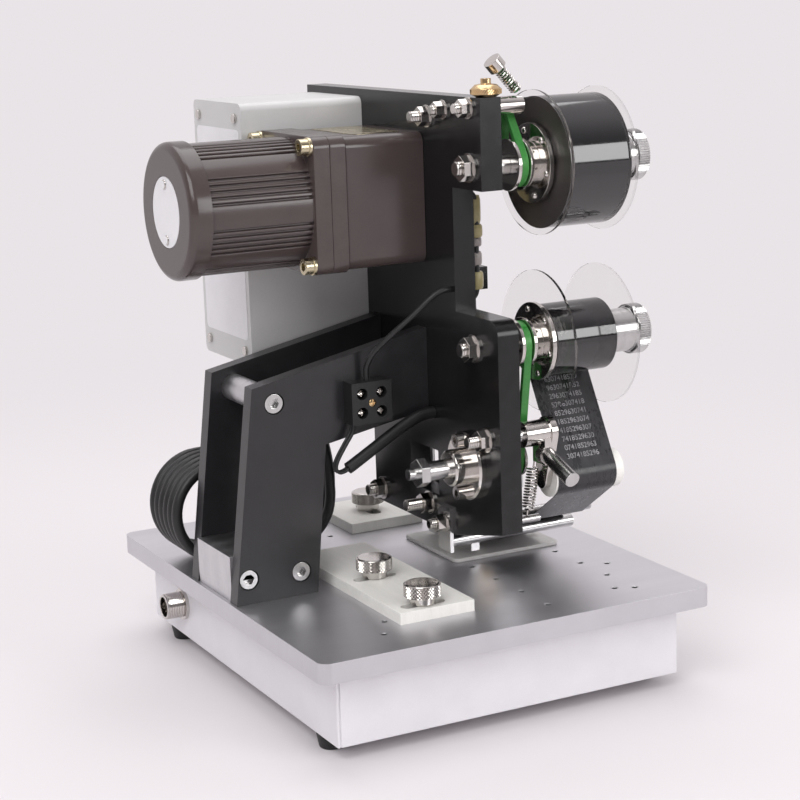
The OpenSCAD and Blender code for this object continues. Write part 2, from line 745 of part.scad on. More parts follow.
// Where the spring's line meets the rod's height, and the spring's lower end along its lean
brake_foot_x = brake_x + 8.5;
brake_rise = (brake_spring_r + brake_wire_r) * sin(brake_lean) + 0.1;
brake_foot = (brake_rod_r + brake_rise) / cos(brake_lean);
module at_brake_spring() {
    translate([brake_foot_x, brake_y, deck_z + brake_z]) rotate([0, -brake_lean, 0])
        translate([0, 0, brake_foot]) children();
}
module brake_hardware() {
    color("lightgray") {
        x_rod(brake_rod_r, face_x, brake_x + belt_w / 2 + 2, brake_y, deck_z + brake_z);
        at_brake_spring() translate([0, 0, brake_spring_len]) cylinder(r = brake_nut_r, h = brake_nut_h);
    }
}
module brake_band() {
    rod = [brake_y, deck_z + brake_z];
    band_end = rod + (brake_rod_r + belt_t + 0.4) * [cos(30), -sin(30)];
    wheel = [reel_y, deck_z + upper_z];
    color("green") {
        yz_plate(brake_x - belt_w / 2, belt_w) difference() {
            loop2d(band_end, belt_t, wheel, groove_r + seat_gap + belt_t);
            loop2d(band_end, 0.3, wheel, groove_r + seat_gap);
        }
        at_brake_spring() cylinder(r = brake_core_r, h = brake_spring_len);
    }
}
brake_pitch = (brake_spring_len - 2 * brake_wire_r) / (brake_turns * spring_steps);
function brake_coil() = [for (i = [0 : brake_turns * spring_steps]) let (a = 360 * i / spring_steps)
    [brake_spring_r * cos(a), brake_spring_r * sin(a), brake_wire_r + i * brake_pitch]];
module brake_spring() {
    color("silver") at_brake_spring() tube(brake_coil(), brake_wire_r, 6);
}
brass_pin_r = 2;
brass_pin_len = 8;
brass_y = reel_block_y + 4;
module brass_adjuster() {
    color("#c8a06e") translate([plate_x + plate_t / 2, brass_y, deck_z + plate_top]) {
        translate([0, 0, -brass_pin_len]) cylinder(r = brass_pin_r, h = brass_pin_len + 0.1);
        translate([0, 0, 0.1]) rotate_extrude()
            polygon([[0, 0], [5, 0], [7.5, 1.5], [7.5, 4], [5.5, 6], [2.6, 6.5], [2.6, 9], [0, 9]]);
    }
}

// Feed: belt from the drive shaft to the lower reel, bearing flange and sprung ribbon lever
belt_x = pulley_x + pulley_flange_t + groove_w / 2;
module takeup_belt() {
    wheel = [reel_y, deck_z + lower_z];
    drive = [drive_y, deck_z + drive_z];
    color("green") yz_plate(belt_x - belt_w / 2, belt_w) difference() {
        loop2d(wheel, groove_r + seat_gap + belt_t, drive, drive_groove_r + seat_gap + belt_t);
        loop2d(wheel, groove_r + seat_gap, drive, drive_groove_r + seat_gap);
    }
}
stub_len = 26;
module drive_shaft() {
    groove0 = belt_x - groove_w / 2 - face_x;
    flange_end = groove0 + groove_w + 1.5;
    color("lightgray") {
        x_rod(shaft_r, plate_x - stub_len, face_x + 1, drive_y, deck_z + drive_z);
        x_turned(face_x, drive_y, deck_z + drive_z)
            polygon([[0, 0.5], [shaft_r + 1, 0.5], [shaft_r + 1, groove0 - 1.5],
                [drive_flange_r, groove0 - 1.5], [drive_flange_r, groove0], [drive_groove_r, groove0],
                [drive_groove_r, groove0 + groove_w], [drive_flange_r, groove0 + groove_w],
                [drive_flange_r, flange_end], [0, flange_end]]);
        translate([plate_x - stub_len - nut_h, drive_y, deck_z + drive_z]) rotate([0, 90, 0])
            cylinder(r = 7.5, h = nut_h, $fn = 6);
        x_rod(3, plate_x - stub_len - nut_h - 5, plate_x - stub_len - nut_h, drive_y, deck_z + drive_z);
    }
}
bearing_r = 17.8;
bearing_pcd = 13.8;
module bearing_flange() {
    bore = shaft_r + run_gap;
    color("silver") {
        x_turned(plate_x, drive_y, deck_z + drive_z) mirror([0, 1])
            polygon([[bore, 0], [bearing_r, 0], [bearing_r, 3], [bearing_r - 1, 4], [9.5, 4], [9.5, 12],
                [8.5, 13], [bore, 13]]);
        for (a = [90, 270])
            translate([plate_x - 4, drive_y + bearing_pcd * cos(a), deck_z + drive_z + bearing_pcd * sin(a)])
                rotate([0, -90, 0]) cap_screw(0.5, 2, 3.6, 4.5);
    }
}
handle_r = 4;
handle_len = 24;
handle_drop = 20;
handle_x = arm_x - lever_block[0] / 2;
handle_z = block_top_z - 9;
boss_wall = 0.8;
boss_len = 5;
module feed_lever() {
    bore = lever_pin_r + run_gap;
    color("lightgray") difference() {
        union() {
            x_rod(lever_hub_r, lever_x, arm_x + arm_t / 2, lever_y, deck_z + lever_z);
            translate([arm_x - lever_block[0], block_y, deck_z + block_top_z - lever_block[2]])
                cube(lever_block);
            y_rod(handle_r + boss_wall, block_y, block_y + boss_len, handle_x, deck_z + handle_z);
            yz_plate(arm_x, arm_t) loop2d([lever_y, deck_z + lever_z], lever_hub_r + 1,
                [roller_y, deck_z + roller_z], axle_r + 2);
            x_rod(axle_r, arm_x + arm_t / 2, roller_x + roller_len + 1, roller_y, deck_z + roller_z);
        }
        x_rod(bore, lever_x - 1, arm_x + arm_t + 1, lever_y, deck_z + lever_z);
    }
}
module lever_handle() {
    color("silver") translate([handle_x, block_y, deck_z + handle_z]) rotate([handle_drop, 0, 0])
    difference() {
        y_rod(handle_r, -handle_len, 2, 0, 0);
        rotate([-handle_drop, 0, 0]) translate([-10, 0, -10]) cube(20);
    }
}
module ribbon_roller() {
    color("ivory") difference() {
        x_rod(roller_r, roller_x, roller_x + roller_len, roller_y, deck_z + roller_z);
        x_rod(axle_r + run_gap, roller_x - 1, roller_x + roller_len + 1, roller_y, deck_z + roller_z);
    }
}
lever_spring_r = 2.9;
lever_wire_r = 0.45;
lever_turns = 15;
lever_spring_z0 = anchor_z + anchor_r;
lever_spring_len = block_top_z - lever_block[2] - lever_spring_z0;
function lever_coil() = coil(lever_turns, lever_spring_r, lever_spring_len, 3 * lever_wire_r);
module lever_spring() {
    color("silver") translate([spring_x, spring_y, deck_z + lever_spring_z0])
        tube(lever_coil(), lever_wire_r, 6);
}
module guide_pins() {
    color("silver") {
        x_rod(pin_over[2], face_x, pin_end_x, pin_over[0], deck_z + pin_over[1]);
        x_rod(pin_top[2], face_x, pin_end_x, pin_top[0], deck_z + pin_top[1]);
        x_rod(lever_pin_r, face_x, arm_x + arm_t + 1, lever_y, deck_z + lever_z);
        x_rod(anchor_r, face_x, spring_x + 2, spring_y, deck_z + anchor_z);
        x_rod(pin_strip[2], plate_x - bracket_t, pin_end_x, pin_strip[0], deck_z + pin_strip[1]);
        translate([plate_x - bracket_t, pin_strip[0] + pin_strip[2] - bracket_w,
                deck_z + pin_strip[1] - pin_strip[2]]) cube([bracket_t, bracket_w, bracket_h]);
        for (p = [pin_near, pin_far]) {
            outer = p[0] < 0 ? -post_gap / 2 + 2 : p[0] + hanger_half;
            inner = p[0] < 0 ? p[0] + hanger_half : p[0] - hanger_half;
            x_rod(p[2], post_x + hanger_t, pin_end_x, p[0], deck_z + p[1]);
            translate([post_x, min(outer, inner), deck_z + p[1] - p[2]])
                cube([hanger_t, abs(outer - inner), post_low - p[1] + p[2]]);
        }
    }
}

// Ribbon path: each turn is [y, z, radius], plus for a turn to the left, minus to the right
film_r = film_gap + film_t / 2;
function turn(p, side) = [p[0], p[1], side * (p[2] + film_r)];
ribbon_turns = [turn([reel_y, upper_z, roll_r], -1), turn(pin_top, -1), turn(pin_far, -1),
    turn(pin_near, -1), turn(pin_strip, 1), turn(pin_over, -1), turn([roller_y, roller_z, roller_r], -1),
    turn([reel_y, lower_z, takeup_r], 1)];
function run_angle(a, b) = let (d = [b[0] - a[0], b[1] - a[1]])
    atan2(d[1], d[0]) + asin((a[2] - b[2]) / norm(d)) - 90;
function arc_points(c, a0, a1) = let (n = max(1, ceil(abs(a1 - a0) / 12)))
    [for (i = [0 : n]) on_turn(c, a0 + (a1 - a0) * i / n)];
function whole_turn(a) = (a % 360 + 360) % 360;
function nearest_turn(a0, a1, side) = side > 0 ? a0 + whole_turn(a1 - a0) : a0 - whole_turn(a0 - a1);
function on_turn(c, a) = [c[0] + c[2] * cos(a), c[1] + c[2] * sin(a), a];
function ribbon_path() =
    let (t = ribbon_turns, n = len(t), run = [for (i = [0 : n - 2]) run_angle(t[i], t[i + 1])])
    concat([on_turn(t[0], run[0])],
        flat([for (i = [1 : n - 2])
            arc_points(t[i], run[i - 1], nearest_turn(run[i - 1], run[i], t[i][2]))]),
        [on_turn(t[n - 1], run[n - 2])]);
module ribbon_web() {
    p = ribbon_path();
    n = len(p);
    out = [for (q = p) [q[0], q[1]] + film_t / 2 * [cos(q[2]), sin(q[2])]];
    in = [for (i = [n - 1 : -1 : 0]) [p[i][0], p[i][1]] - film_t / 2 * [cos(p[i][2]), sin(p[i][2])]];
    color("#2a2a2c") yz_plate(ribbon_x, ribbon_w) translate([0, deck_z]) polygon(concat(out, in));
}

// Print head: posts in blocks, a slide with a slotted yoke, heater block and type
module at_posts() {
    for (s = [-1, 1]) translate([post_x, s * post_gap / 2, deck_z]) children();
}
module post_rods() {
    at_posts() translate([0, 0, post_low + 2]) cylinder(r = post_r, h = post_top - post_low - 4);
}
module guide_posts() color("silver") post_rods();
module post_blocks() {
    color("#2a2a2c") for (z = [post_low, post_top - holder_h]) difference() {
        for (s = [-1, 1]) translate([face_x, s * post_gap / 2 - holder_w / 2, deck_z + z])
            cube([post_x - face_x + 8, holder_w, holder_h]);
        post_rods();
    }
}
slide_x = post_x - slide_depth / 2;
slot_y = crank_throw + crank_pin_r + 1.5;
slot_h = 2 * (crank_pin_r + yoke_slack);
yoke_z = motor_z + crank_throw;
yoke_w = 2 * slot_y + 11;
module head_slide() {
    slide_y = post_gap + 20;
    color("#5a5a5e") difference() {
        union() {
            translate([slide_x, -slide_y / 2, deck_z + slide_low]) cube([slide_depth, slide_y, slide_h]);
            translate([slide_x, -14, deck_z + head_plate_z])
                cube([slide_depth, 28, slide_low - head_plate_z + 1]);
            translate([slide_x, head_y - 12, deck_z + head_plate_z])
                cube([head_front - slide_x, 24, head_plate_t]);
            translate([yoke_x, -8, deck_z + slide_low + slide_h - 1])
                cube([yoke_t, 16, yoke_z - slide_low - slide_h]);
            translate([yoke_x, -yoke_w / 2, deck_z + yoke_z - slot_h / 2 - 5])
                cube([yoke_t, yoke_w, slot_h + 10]);
        }
        at_posts() translate([0, 0, slide_low - 1]) cylinder(r = post_r + run_gap, h = slide_h + 2);
        translate([yoke_x - 1, -slot_y, deck_z + yoke_z - slot_h / 2])
            cube([yoke_t + 2, 2 * slot_y, slot_h]);
    }
}
heater_y = type_y + 8;
module heater_block() {
    color("#b0a890") difference() {
        union() {
            translate([heater_x, head_y - heater_y / 2, deck_z + heater_z])
                cube([heater_len, heater_y, heater_h]);
            for (x = [heater_x + 6, heater_x + heater_len - 6]) for (s = [-1, 1])
                translate([x, head_y + s * 7, deck_z + heater_z + heater_h])
                    cylinder(r = 3, h = head_plate_z - heater_z - heater_h);
        }
        x_rod(4, heater_x + 4, heater_x + heater_len + 1, head_y, deck_z + heater_z + 12);
    }
}
module type_holder() {
    color("#c0a060") {
        translate([heater_x, head_y - type_y / 2, deck_z + type_z + 2])
            cube([heater_len, type_y, type_h - 2]);
        for (k = [0 : 5]) translate([heater_x + 2 + k * (heater_len - 3) / 6, head_y - 4, deck_z + type_z])
            cube([3, 8, 2 + eps]);
    }
}
module print_pad() {
    color("#c8c8c6") translate([heater_x + heater_len / 2 - 7, head_y - 3, deck_z])
        linear_extrude(pad_t) rounded(66, 60, 3);
}

// Nylon bag stops with slots, and the knurled thumb nuts that clamp them
slot_spare = 0.6;
module back_stop() {
    color("ivory") at_base() translate([0, 0, deck_z]) difference() {
        translate([stop_x0, stop_y0, 0]) cube([stop_x, stop_y, stop_t]);
        for (y = stop_stud_y)
            translate([stop_stud_x, y, -1]) linear_extrude(stop_t + 2)
                slot2d(stop_travel + slot_spare, slot_half_w);
    }
}
module side_stop() {
    color("ivory") at_base() translate([side_stud_at[0], side_stud_at[1], deck_z]) difference() {
        linear_extrude(stop_t) square(side_stop_size, center = true);
        translate([0, 0, -1]) linear_extrude(stop_t + 2)
            rotate(90) slot2d(stop_travel + slot_spare, slot_half_w);
    }
}
module thumb_nut(at) {
    bore = screw_r + run_gap;
    top = collar_h + thumb_h;
    color("lightgray") at_base() translate([at[0], at[1], deck_z + stop_t + nut_lift]) rotate_extrude()
        polygon([[bore, 0], [collar_r - 0.5, 0], [collar_r, 0.5], [collar_r, collar_h],
            [thumb_r - 0.6, collar_h], [thumb_r, collar_h + 0.6], [thumb_r, top - 0.6],
            [thumb_r - 0.6, top], [0, top], [0, nut_bore], [bore, nut_bore]]);
}
module back_nut_near() thumb_nut(stud_at[0]);
module back_nut_far() thumb_nut(stud_at[1]);
module side_nut() thumb_nut(stud_at[2]);

// Terminal block and the leads clipped to the frame
terminal = [23, 10, 22];
terminal_at = [plate_x - 49.5, -column_w / 2 - terminal[1], arm_low - 1];
module terminal_block() {
    color("#1c1c1e") difference() {
        translate([terminal_at[0], terminal_at[1], deck_z + terminal_at[2]]) cube(terminal);
        for (x = [6, 17]) for (z = [6, 16])
            y_rod(3, terminal_at[1] - 1, terminal_at[1] + 5, terminal_at[0] + x,
                deck_z + terminal_at[2] + z);
    }
}
lead_r = 1.5;
sheath_r = 3.2;
terminal_top = terminal_at[2] + terminal[2];
// Routes measured from the main plate's back or front face, in X, Y and height above the deck
motor_lead = [[0, -58, 156], [-4, -58, 156], [-10, -57, 153], [-19, -53, 144], [-29, -47, 134],
    [-36, -41, 125], [-38.3, -37, 118], [-38.5, -36, 114], [-38.5, -36, terminal_top]];
sheath = [[0, -36, 88], [-3, -36, 88], [-9, -36, 87], [-16, -36, 84], [-24, -36, 80], [-32, -36, 75.5],
    [-40, -36, 71], [-48, -36, 66.5], [-51, -36, 65]];
core = [[-51.2, -36, 64.9], [-53.3, -36, 63.9], [-56, -36, 63.6], [-57.9, -36, 65.2], [-57.9, -36, 68],
    [-56, -36, 72], [-52, -36, 78], [-48.5, -36, 83], [-47.5, -36, 86], [-47.5, -36, terminal_at[2]]];
core_r = 0.9;
core_gap = 1.3;
heater_lead = [[0, -52, 205], [1.5, -52, 205], [4.2, -52, 204], [6.4, -52, 201.6], [7.3, -52, 198],
    [7.5, -52, 186], [7.2, -52, 172], [7.5, -52, 158], [7.3, -52, 155], [6.4, -52, 151.4], [4.2, -52, 149],
    [1.5, -52, 148], [0, -52, 148]];
heater_lead_gap = 3.6;
module wiring() {
    color("#1a1a1a") translate([plate_x, 0, deck_z]) {
        tube(motor_lead, lead_r);
        tube(sheath, sheath_r);
        for (s = [-1, 1]) tube([for (p = core) p + [0, s * core_gap, 0]], core_r, 6);
        for (k = [0, 1]) tube([for (p = heater_lead) p + [plate_t, k * heater_lead_gap, 0]], lead_r);
    }
}

// Power cord: a gland under the control box, a lead, a tied hank on the deck and its plug
module cord_gland() {
    color("#1c1c1e") translate([gland_at[0], gland_at[1], deck_z + gland_z]) {
        translate([0, 0, gland_h - gland_nut_h]) cylinder(r = 9, h = gland_nut_h, $fn = 6);
        cylinder(r1 = 5.5, r2 = 7.5, h = gland_h - gland_nut_h + 0.5);
        translate([0, 0, gland_h - 1]) cylinder(r = gland_stub_r, h = control_wall + 5);
    }
}
module cord_lead() {
    color("#121212") translate([gland_at[0], gland_at[1], deck_z]) tube(lead_route, cord_r);
}
// One loop of the hank stands in X and Z: down round the right end, along the bottom, up round the left end
// and back along the top, while it moves on along Y
function loop_turn(k) = k <= 5 ? -18 * k
    : k <= 7 ? -90
    : k <= 17 ? -90 - 18 * (k - 7)
    : k <= 19 ? -270
    : -270 - 18 * (k - 19);
function loop_end(k) = k <= 5 || k >= 19 ? 1 : k == 6 || k == 18 ? 0 : -1;
function hank_point(i) = let (k = i % loop_steps, a = loop_turn(k))
    [hank_x + loop_end(k) * (hank_half_x - hank_r) + hank_r * cos(a), hank_y0 + hank_pitch * i / loop_steps,
     hank_z + hank_r * sin(a)];
hank_exit = hank_point(hank_loops * loop_steps);
hank_path = concat([hank_point(0) + [0, 0, 2 * cord_r]],
    [for (i = [0 : hank_loops * loop_steps]) hank_point(i)],
    [for (a = [tail_step : tail_step : 90]) hank_exit + tail_r * [0, 1 - cos(a), -sin(a)]],
    [hank_exit + [0, tail_r + 2 * cord_r, -tail_r]]);
module cord_hank() {
    color("#121212") translate([0, 0, deck_z]) tube(hank_path, cord_r, 6);
}
tie_half_z = hank_r + cord_r + 0.1;
tie_y = hank_y0 + hank_pitch * hank_loops / 2;
tie_half_y = hank_pitch * (hank_loops - 0.5) / 2 + cord_r + 0.4;
module cord_tie() {
    color("#222222") yz_plate(hank_x - tie_w / 2, tie_w) translate([tie_y, deck_z + hank_z]) difference() {
        rounded(2 * (tie_half_y + tie_t), 2 * (tie_half_z + tie_t), 3);
        rounded(2 * tie_half_y, 2 * tie_half_z, 2);
    }
}
plug_pin_gap = 19;
plug_relief = 9;
plug_body = 24;
// A right-angled plug: the cord comes in along Y and the two pins point along -X
module cord_plug() {
    end = hank_path[len(hank_path) - 1];
    mid_y = plug_relief + plug_body / 2;
    color("#161616") translate([end[0], end[1], deck_z + end[2]]) {
        rotate([-90, 0, 0]) cylinder(r1 = cord_r + 1, r2 = cord_r + 3, h = plug_relief + 4);
        translate([0, mid_y, 0]) rotate([0, -90, 0]) rotate_extrude()
            polygon([[0, -plug_r + 3], [plug_body / 2 - 2, -plug_r + 3], [plug_body / 2, -plug_r + 5],
                [plug_body / 2, plug_r - 1], [plug_body / 2 - 1, plug_r], [0, plug_r]]);
        for (s = [-1, 1]) translate([-plug_r, mid_y + s * plug_pin_gap / 2 * 0.8, 0]) rotate([0, -90, 0])
            cylinder(r = 2.2, h = 18);
    }
}

// Least clear distances of the wound forms to themselves
echo(hank_gap = least_gap(hank_path, cord_r, loop_steps / 2),
    lever_spring_gap = least_gap(lever_coil(), lever_wire_r, 6),
    brake_spring_gap = least_gap(brake_coil(), brake_wire_r, 6));

base_box();
rubber_feet();
base_plate();
foot_switch_socket();
column_side_near();
column_side_far();
column_spacers();
frame_screws();
main_plate();
plate_fasteners();
gearbox();
motor_body();
motor_end_cap();
motor_nameplate();
gearbox_screws();
crank();
control_box();
power_switch();
temperature_knob();
speed_knob();
reel_shafts();
upper_hub();
upper_discs();
ribbon_roll();
upper_knob();
lower_hub();
lower_discs();
takeup_core();
lower_knob();
brake_hardware();
brake_band();
brake_spring();
brass_adjuster();
takeup_belt();
drive_shaft();
bearing_flange();
feed_lever();
lever_handle();
ribbon_roller();
lever_spring();
guide_pins();
ribbon_web();
guide_posts();
post_blocks();
head_slide();
heater_block();
type_holder();
print_pad();
back_stop();
side_stop();
back_nut_near();
back_nut_far();
side_nut();
terminal_block();
wiring();
cord_gland();
cord_lead();
cord_hank();
cord_tie();
cord_plug();
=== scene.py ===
import json
import math
import bpy
from mathutils import Matrix, Vector


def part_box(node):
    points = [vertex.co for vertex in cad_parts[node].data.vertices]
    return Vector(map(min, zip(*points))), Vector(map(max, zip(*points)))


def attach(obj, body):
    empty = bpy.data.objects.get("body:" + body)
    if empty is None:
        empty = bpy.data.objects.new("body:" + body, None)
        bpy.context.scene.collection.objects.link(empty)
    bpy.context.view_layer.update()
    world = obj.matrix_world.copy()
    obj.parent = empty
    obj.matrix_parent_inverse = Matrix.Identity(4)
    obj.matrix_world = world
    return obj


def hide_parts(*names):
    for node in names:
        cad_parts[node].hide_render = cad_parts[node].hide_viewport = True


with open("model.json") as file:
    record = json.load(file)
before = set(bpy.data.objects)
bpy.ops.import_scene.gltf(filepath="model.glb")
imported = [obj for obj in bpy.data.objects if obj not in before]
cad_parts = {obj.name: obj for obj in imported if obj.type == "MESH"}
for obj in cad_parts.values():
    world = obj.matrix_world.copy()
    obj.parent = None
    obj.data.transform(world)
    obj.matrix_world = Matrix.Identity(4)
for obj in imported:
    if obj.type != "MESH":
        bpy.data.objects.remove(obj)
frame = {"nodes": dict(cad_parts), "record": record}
nodes = frame["nodes"]
bodyOf = {n: body for body, members in frame["record"]["behaviour"]["bodies"].items() for n in members}
slotOf = {part["node"]: part["material_slot"] for part in frame["record"]["subparts"]}
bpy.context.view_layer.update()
print("frame loaded:", len(nodes), "nodes")


def mm(*values):
    return Vector([v / 1000 for v in values])


def deselectAll():
    if bpy.context.object and bpy.context.object.mode != "OBJECT":
        bpy.ops.object.mode_set(mode="OBJECT")
    bpy.ops.object.select_all(action="DESELECT")


def makeActive(piece):
    deselectAll()
    piece.select_set(True)
    bpy.context.view_layer.objects.active = piece


def smoothUnder(piece, degrees):
    makeActive(piece)
    bpy.ops.object.shade_smooth_by_angle(angle=math.radians(degrees))


def boxOf(name):
    # a node's corners and middle, in millimetres
    low, high = (corner * 1000 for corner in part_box(name))
    return low, high, (low + high) / 2


# the camera stands where the photograph was taken: angles in degrees, place in millimetres
cameraView = {
    "azimuth": -27.12, "elevation": 12.11, "roll": -1.93,
    "lens": 89.64, "sensor": 36, "place": (-470.1, -938.6, 371.2), "farClip": 30,
}


def addCamera(view):
    azimuth, elevation, roll = (math.radians(view[k]) for k in ("azimuth", "elevation", "roll"))
    level = math.cos(elevation)
    back = Vector((math.sin(azimuth) * level, -math.cos(azimuth) * level, math.sin(elevation)))
    right = Vector((math.cos(azimuth), math.sin(azimuth), 0))
    up = back.cross(right)
    rolledRight = math.cos(roll) * right + math.sin(roll) * up
    rolledUp = math.cos(roll) * up - math.sin(roll) * right
    turned = Matrix((rolledRight, rolledUp, back)).transposed().to_4x4()
    deselectAll()
    bpy.ops.object.camera_add()
    camera = bpy.context.object
    camera.name = "photoCamera"
    camera.matrix_world = Matrix.Translation(mm(*view["place"])) @ turned
    camera.data.sensor_width = view["sensor"]
    camera.data.lens = view["lens"]
    camera.data.clip_end = view["farClip"]
    bpy.context.scene.camera = camera


addCamera(cameraView)
print("camera set")


# shared effects: each group puts out what changes over the surface
def startGroup(name, inputs, outputs):
    tree = bpy.data.node_groups.new(name, "ShaderNodeTree")
    for label, kind, value in inputs:
        tree.interface.new_socket(name=label, in_out="INPUT", socket_type=kind).default_value = value
    for label, kind in outputs:
        tree.interface.new_socket(name=label, in_out="OUTPUT", socket_type=kind)
    return tree, tree.nodes.new("NodeGroupInput"), tree.nodes.new("NodeGroupOutput")


def addNode(tree, kind, settings=None, **values):
    node = tree.nodes.new(kind)
    for label, value in (settings or {}).items():
        setattr(node, label, value)
    for label, value in values.items():
        node.inputs[label].default_value = value
    return node


# how much each noise counts, and the span of it that runs from one tone to the other
grainPlan = {"fineShare": 0.45, "broadShare": 0.55, "span": (0.32, 0.68)}


def makeGrain(plan):
    # a mottled tone with a fine bump: a larger scale along an axis draws the grain across it
    tree, given, result = startGroup("surfaceGrain", [
        ("pale", "NodeSocketColor", (0.8, 0.8, 0.8, 1)), ("deep", "NodeSocketColor", (0.7, 0.7, 0.7, 1)),
        ("stretch", "NodeSocketVector", (60, 60, 60)), ("fine", "NodeSocketVector", (900, 900, 900)),
        ("smoothest", "NodeSocketFloat", 0.3), ("roughest", "NodeSocketFloat", 0.5),
    ], [("colour", "NodeSocketColor"), ("roughness", "NodeSocketFloat"), ("height", "NodeSocketFloat")])
    place = addNode(tree, "ShaderNodeTexCoord")
    broadPlace = addNode(tree, "ShaderNodeVectorMath", {"operation": "MULTIPLY"})
    finePlace = addNode(tree, "ShaderNodeVectorMath", {"operation": "MULTIPLY"})
    broad = addNode(tree, "ShaderNodeTexNoise", Scale=1, Detail=4, Roughness=0.55)
    fine = addNode(tree, "ShaderNodeTexNoise", Scale=1, Detail=3, Roughness=0.6)
    mix = addNode(tree, "ShaderNodeMath", {"operation": "MULTIPLY_ADD"})
    mix.inputs[1].default_value = plan["fineShare"]
    half = addNode(tree, "ShaderNodeMath", {"operation": "MULTIPLY"})
    half.inputs[1].default_value = plan["broadShare"]
    steep = addNode(tree, "ShaderNodeMapRange", {"interpolation_type": "SMOOTHSTEP"})
    steep.inputs["From Min"].default_value, steep.inputs["From Max"].default_value = plan["span"]
    tone = addNode(tree, "ShaderNodeMix", {"data_type": "RGBA"})
    rough = addNode(tree, "ShaderNodeMapRange")
    link = tree.links.new
    link(place.outputs["Object"], broadPlace.inputs[0])
    link(given.outputs["stretch"], broadPlace.inputs[1])
    link(place.outputs["Object"], finePlace.inputs[0])
    link(given.outputs["fine"], finePlace.inputs[1])
    link(broadPlace.outputs[0], broad.inputs["Vector"])
    link(finePlace.outputs[0], fine.inputs["Vector"])
    link(broad.outputs["Fac"], half.inputs[0])
    link(fine.outputs["Fac"], mix.inputs[0])
    link(half.outputs[0], mix.inputs[2])
    link(mix.outputs[0], steep.inputs["Value"])
    link(steep.outputs[0], tone.inputs["Factor"])
    link(given.outputs["deep"], tone.inputs["A"])
    link(given.outputs["pale"], tone.inputs["B"])
    link(steep.outputs[0], rough.inputs["Value"])
    link(given.outputs["smoothest"], rough.inputs["To Min"])
    link(given.outputs["roughest"], rough.inputs["To Max"])
    link(tone.outputs["Result"], result.inputs["colour"])
    link(rough.outputs[0], result.inputs["roughness"])
    link(fine.outputs["Fac"], result.inputs["height"])
    return tree


# how sharp an edge has to be, and how much of its length gets the painted edge highlight
edgeHighlightPlan = {"edge": (0.51, 0.6), "patches": (0.35, 0.65)}


def makeEdgeHighlight(plan):
    # painted edge highlight: convex edges are made lighter, unevenly, in patches
    tree, given, result = startGroup("edgeRub", [
        ("colour", "NodeSocketColor", (0.5, 0.5, 0.5, 1)), ("bare", "NodeSocketColor", (0.7, 0.7, 0.7, 1)),
        ("amount", "NodeSocketFloat", 0.5), ("patch", "NodeSocketFloat", 140),
    ], [("colour", "NodeSocketColor")])
    shape = addNode(tree, "ShaderNodeNewGeometry")
    place = addNode(tree, "ShaderNodeTexCoord")
    edge = addNode(tree, "ShaderNodeMapRange", {"interpolation_type": "SMOOTHSTEP"})
    edge.inputs["From Min"].default_value, edge.inputs["From Max"].default_value = plan["edge"]
    patch = addNode(tree, "ShaderNodeTexNoise", Detail=3)
    some = addNode(tree, "ShaderNodeMapRange")
    some.inputs["From Min"].default_value, some.inputs["From Max"].default_value = plan["patches"]
    both = addNode(tree, "ShaderNodeMath", {"operation": "MULTIPLY"})
    scaled = addNode(tree, "ShaderNodeMath", {"operation": "MULTIPLY"})
    tone = addNode(tree, "ShaderNodeMix", {"data_type": "RGBA"})
    link = tree.links.new
    link(shape.outputs["Pointiness"], edge.inputs["Value"])
    link(place.outputs["Object"], patch.inputs["Vector"])
    link(given.outputs["patch"], patch.inputs["Scale"])
    link(patch.outputs["Fac"], some.inputs["Value"])
    link(edge.outputs[0], both.inputs[0])
    link(some.outputs[0], both.inputs[1])
    link(both.outputs[0], scaled.inputs[0])
    link(given.outputs["amount"], scaled.inputs[1])
    link(scaled.outputs[0], tone.inputs["Factor"])
    link(given.outputs["colour"], tone.inputs["A"])
    link(given.outputs["bare"], tone.inputs["B"])
    link(tone.outputs["Result"], result.inputs["colour"])
    return tree


def makeWound():
    # a winding round an axis along X: rings of film edges, and a mask of the two end faces
    tree, given, result = startGroup("woundRings", [
        ("centre", "NodeSocketVector", (0, 0, 0)), ("pitch", "NodeSocketFloat", 1500),
        ("half", "NodeSocketFloat", 0.02),
    ], [("rings", "NodeSocketFloat"), ("ends", "NodeSocketFloat")])
    place = addNode(tree, "ShaderNodeTexCoord")
    moved = addNode(tree, "ShaderNodeVectorMath", {"operation": "SUBTRACT"})
    flat = addNode(tree, "ShaderNodeVectorMath", {"operation": "MULTIPLY"})
    flat.inputs[1].default_value = (0, 1, 1)
    reach = addNode(tree, "ShaderNodeVectorMath", {"operation": "LENGTH"})
    scaled = addNode(tree, "ShaderNodeMath", {"operation": "MULTIPLY"})
    rings = addNode(tree, "ShaderNodeTexNoise", {"noise_dimensions": "1D"}, Scale=1, Detail=2)
    split = addNode(tree, "ShaderNodeSeparateXYZ")
    off = addNode(tree, "ShaderNodeMath", {"operation": "ABSOLUTE"})
    ends = addNode(tree, "ShaderNodeMath", {"operation": "GREATER_THAN"})
    link = tree.links.new
    link(place.outputs["Object"], moved.inputs[0])
    link(given.outputs["centre"], moved.inputs[1])
    link(moved.outputs[0], flat.inputs[0])
    link(flat.outputs[0], reach.inputs[0])
    link(reach.outputs["Value"], scaled.inputs[0])
    link(given.outputs["pitch"], scaled.inputs[1])
    link(scaled.outputs[0], rings.inputs["W"])
    link(rings.outputs["Fac"], result.inputs["rings"])
    link(moved.outputs[0], split.inputs[0])
    link(split.outputs["X"], off.inputs[0])
    link(off.outputs[0], ends.inputs[0])
    link(given.outputs["half"], ends.inputs[1])
    link(ends.outputs[0], result.inputs["ends"])
    return tree


grainGroup = makeGrain(grainPlan)
edgeHighlightGroup = makeEdgeHighlight(edgeHighlightPlan)
woundGroup = makeWound()


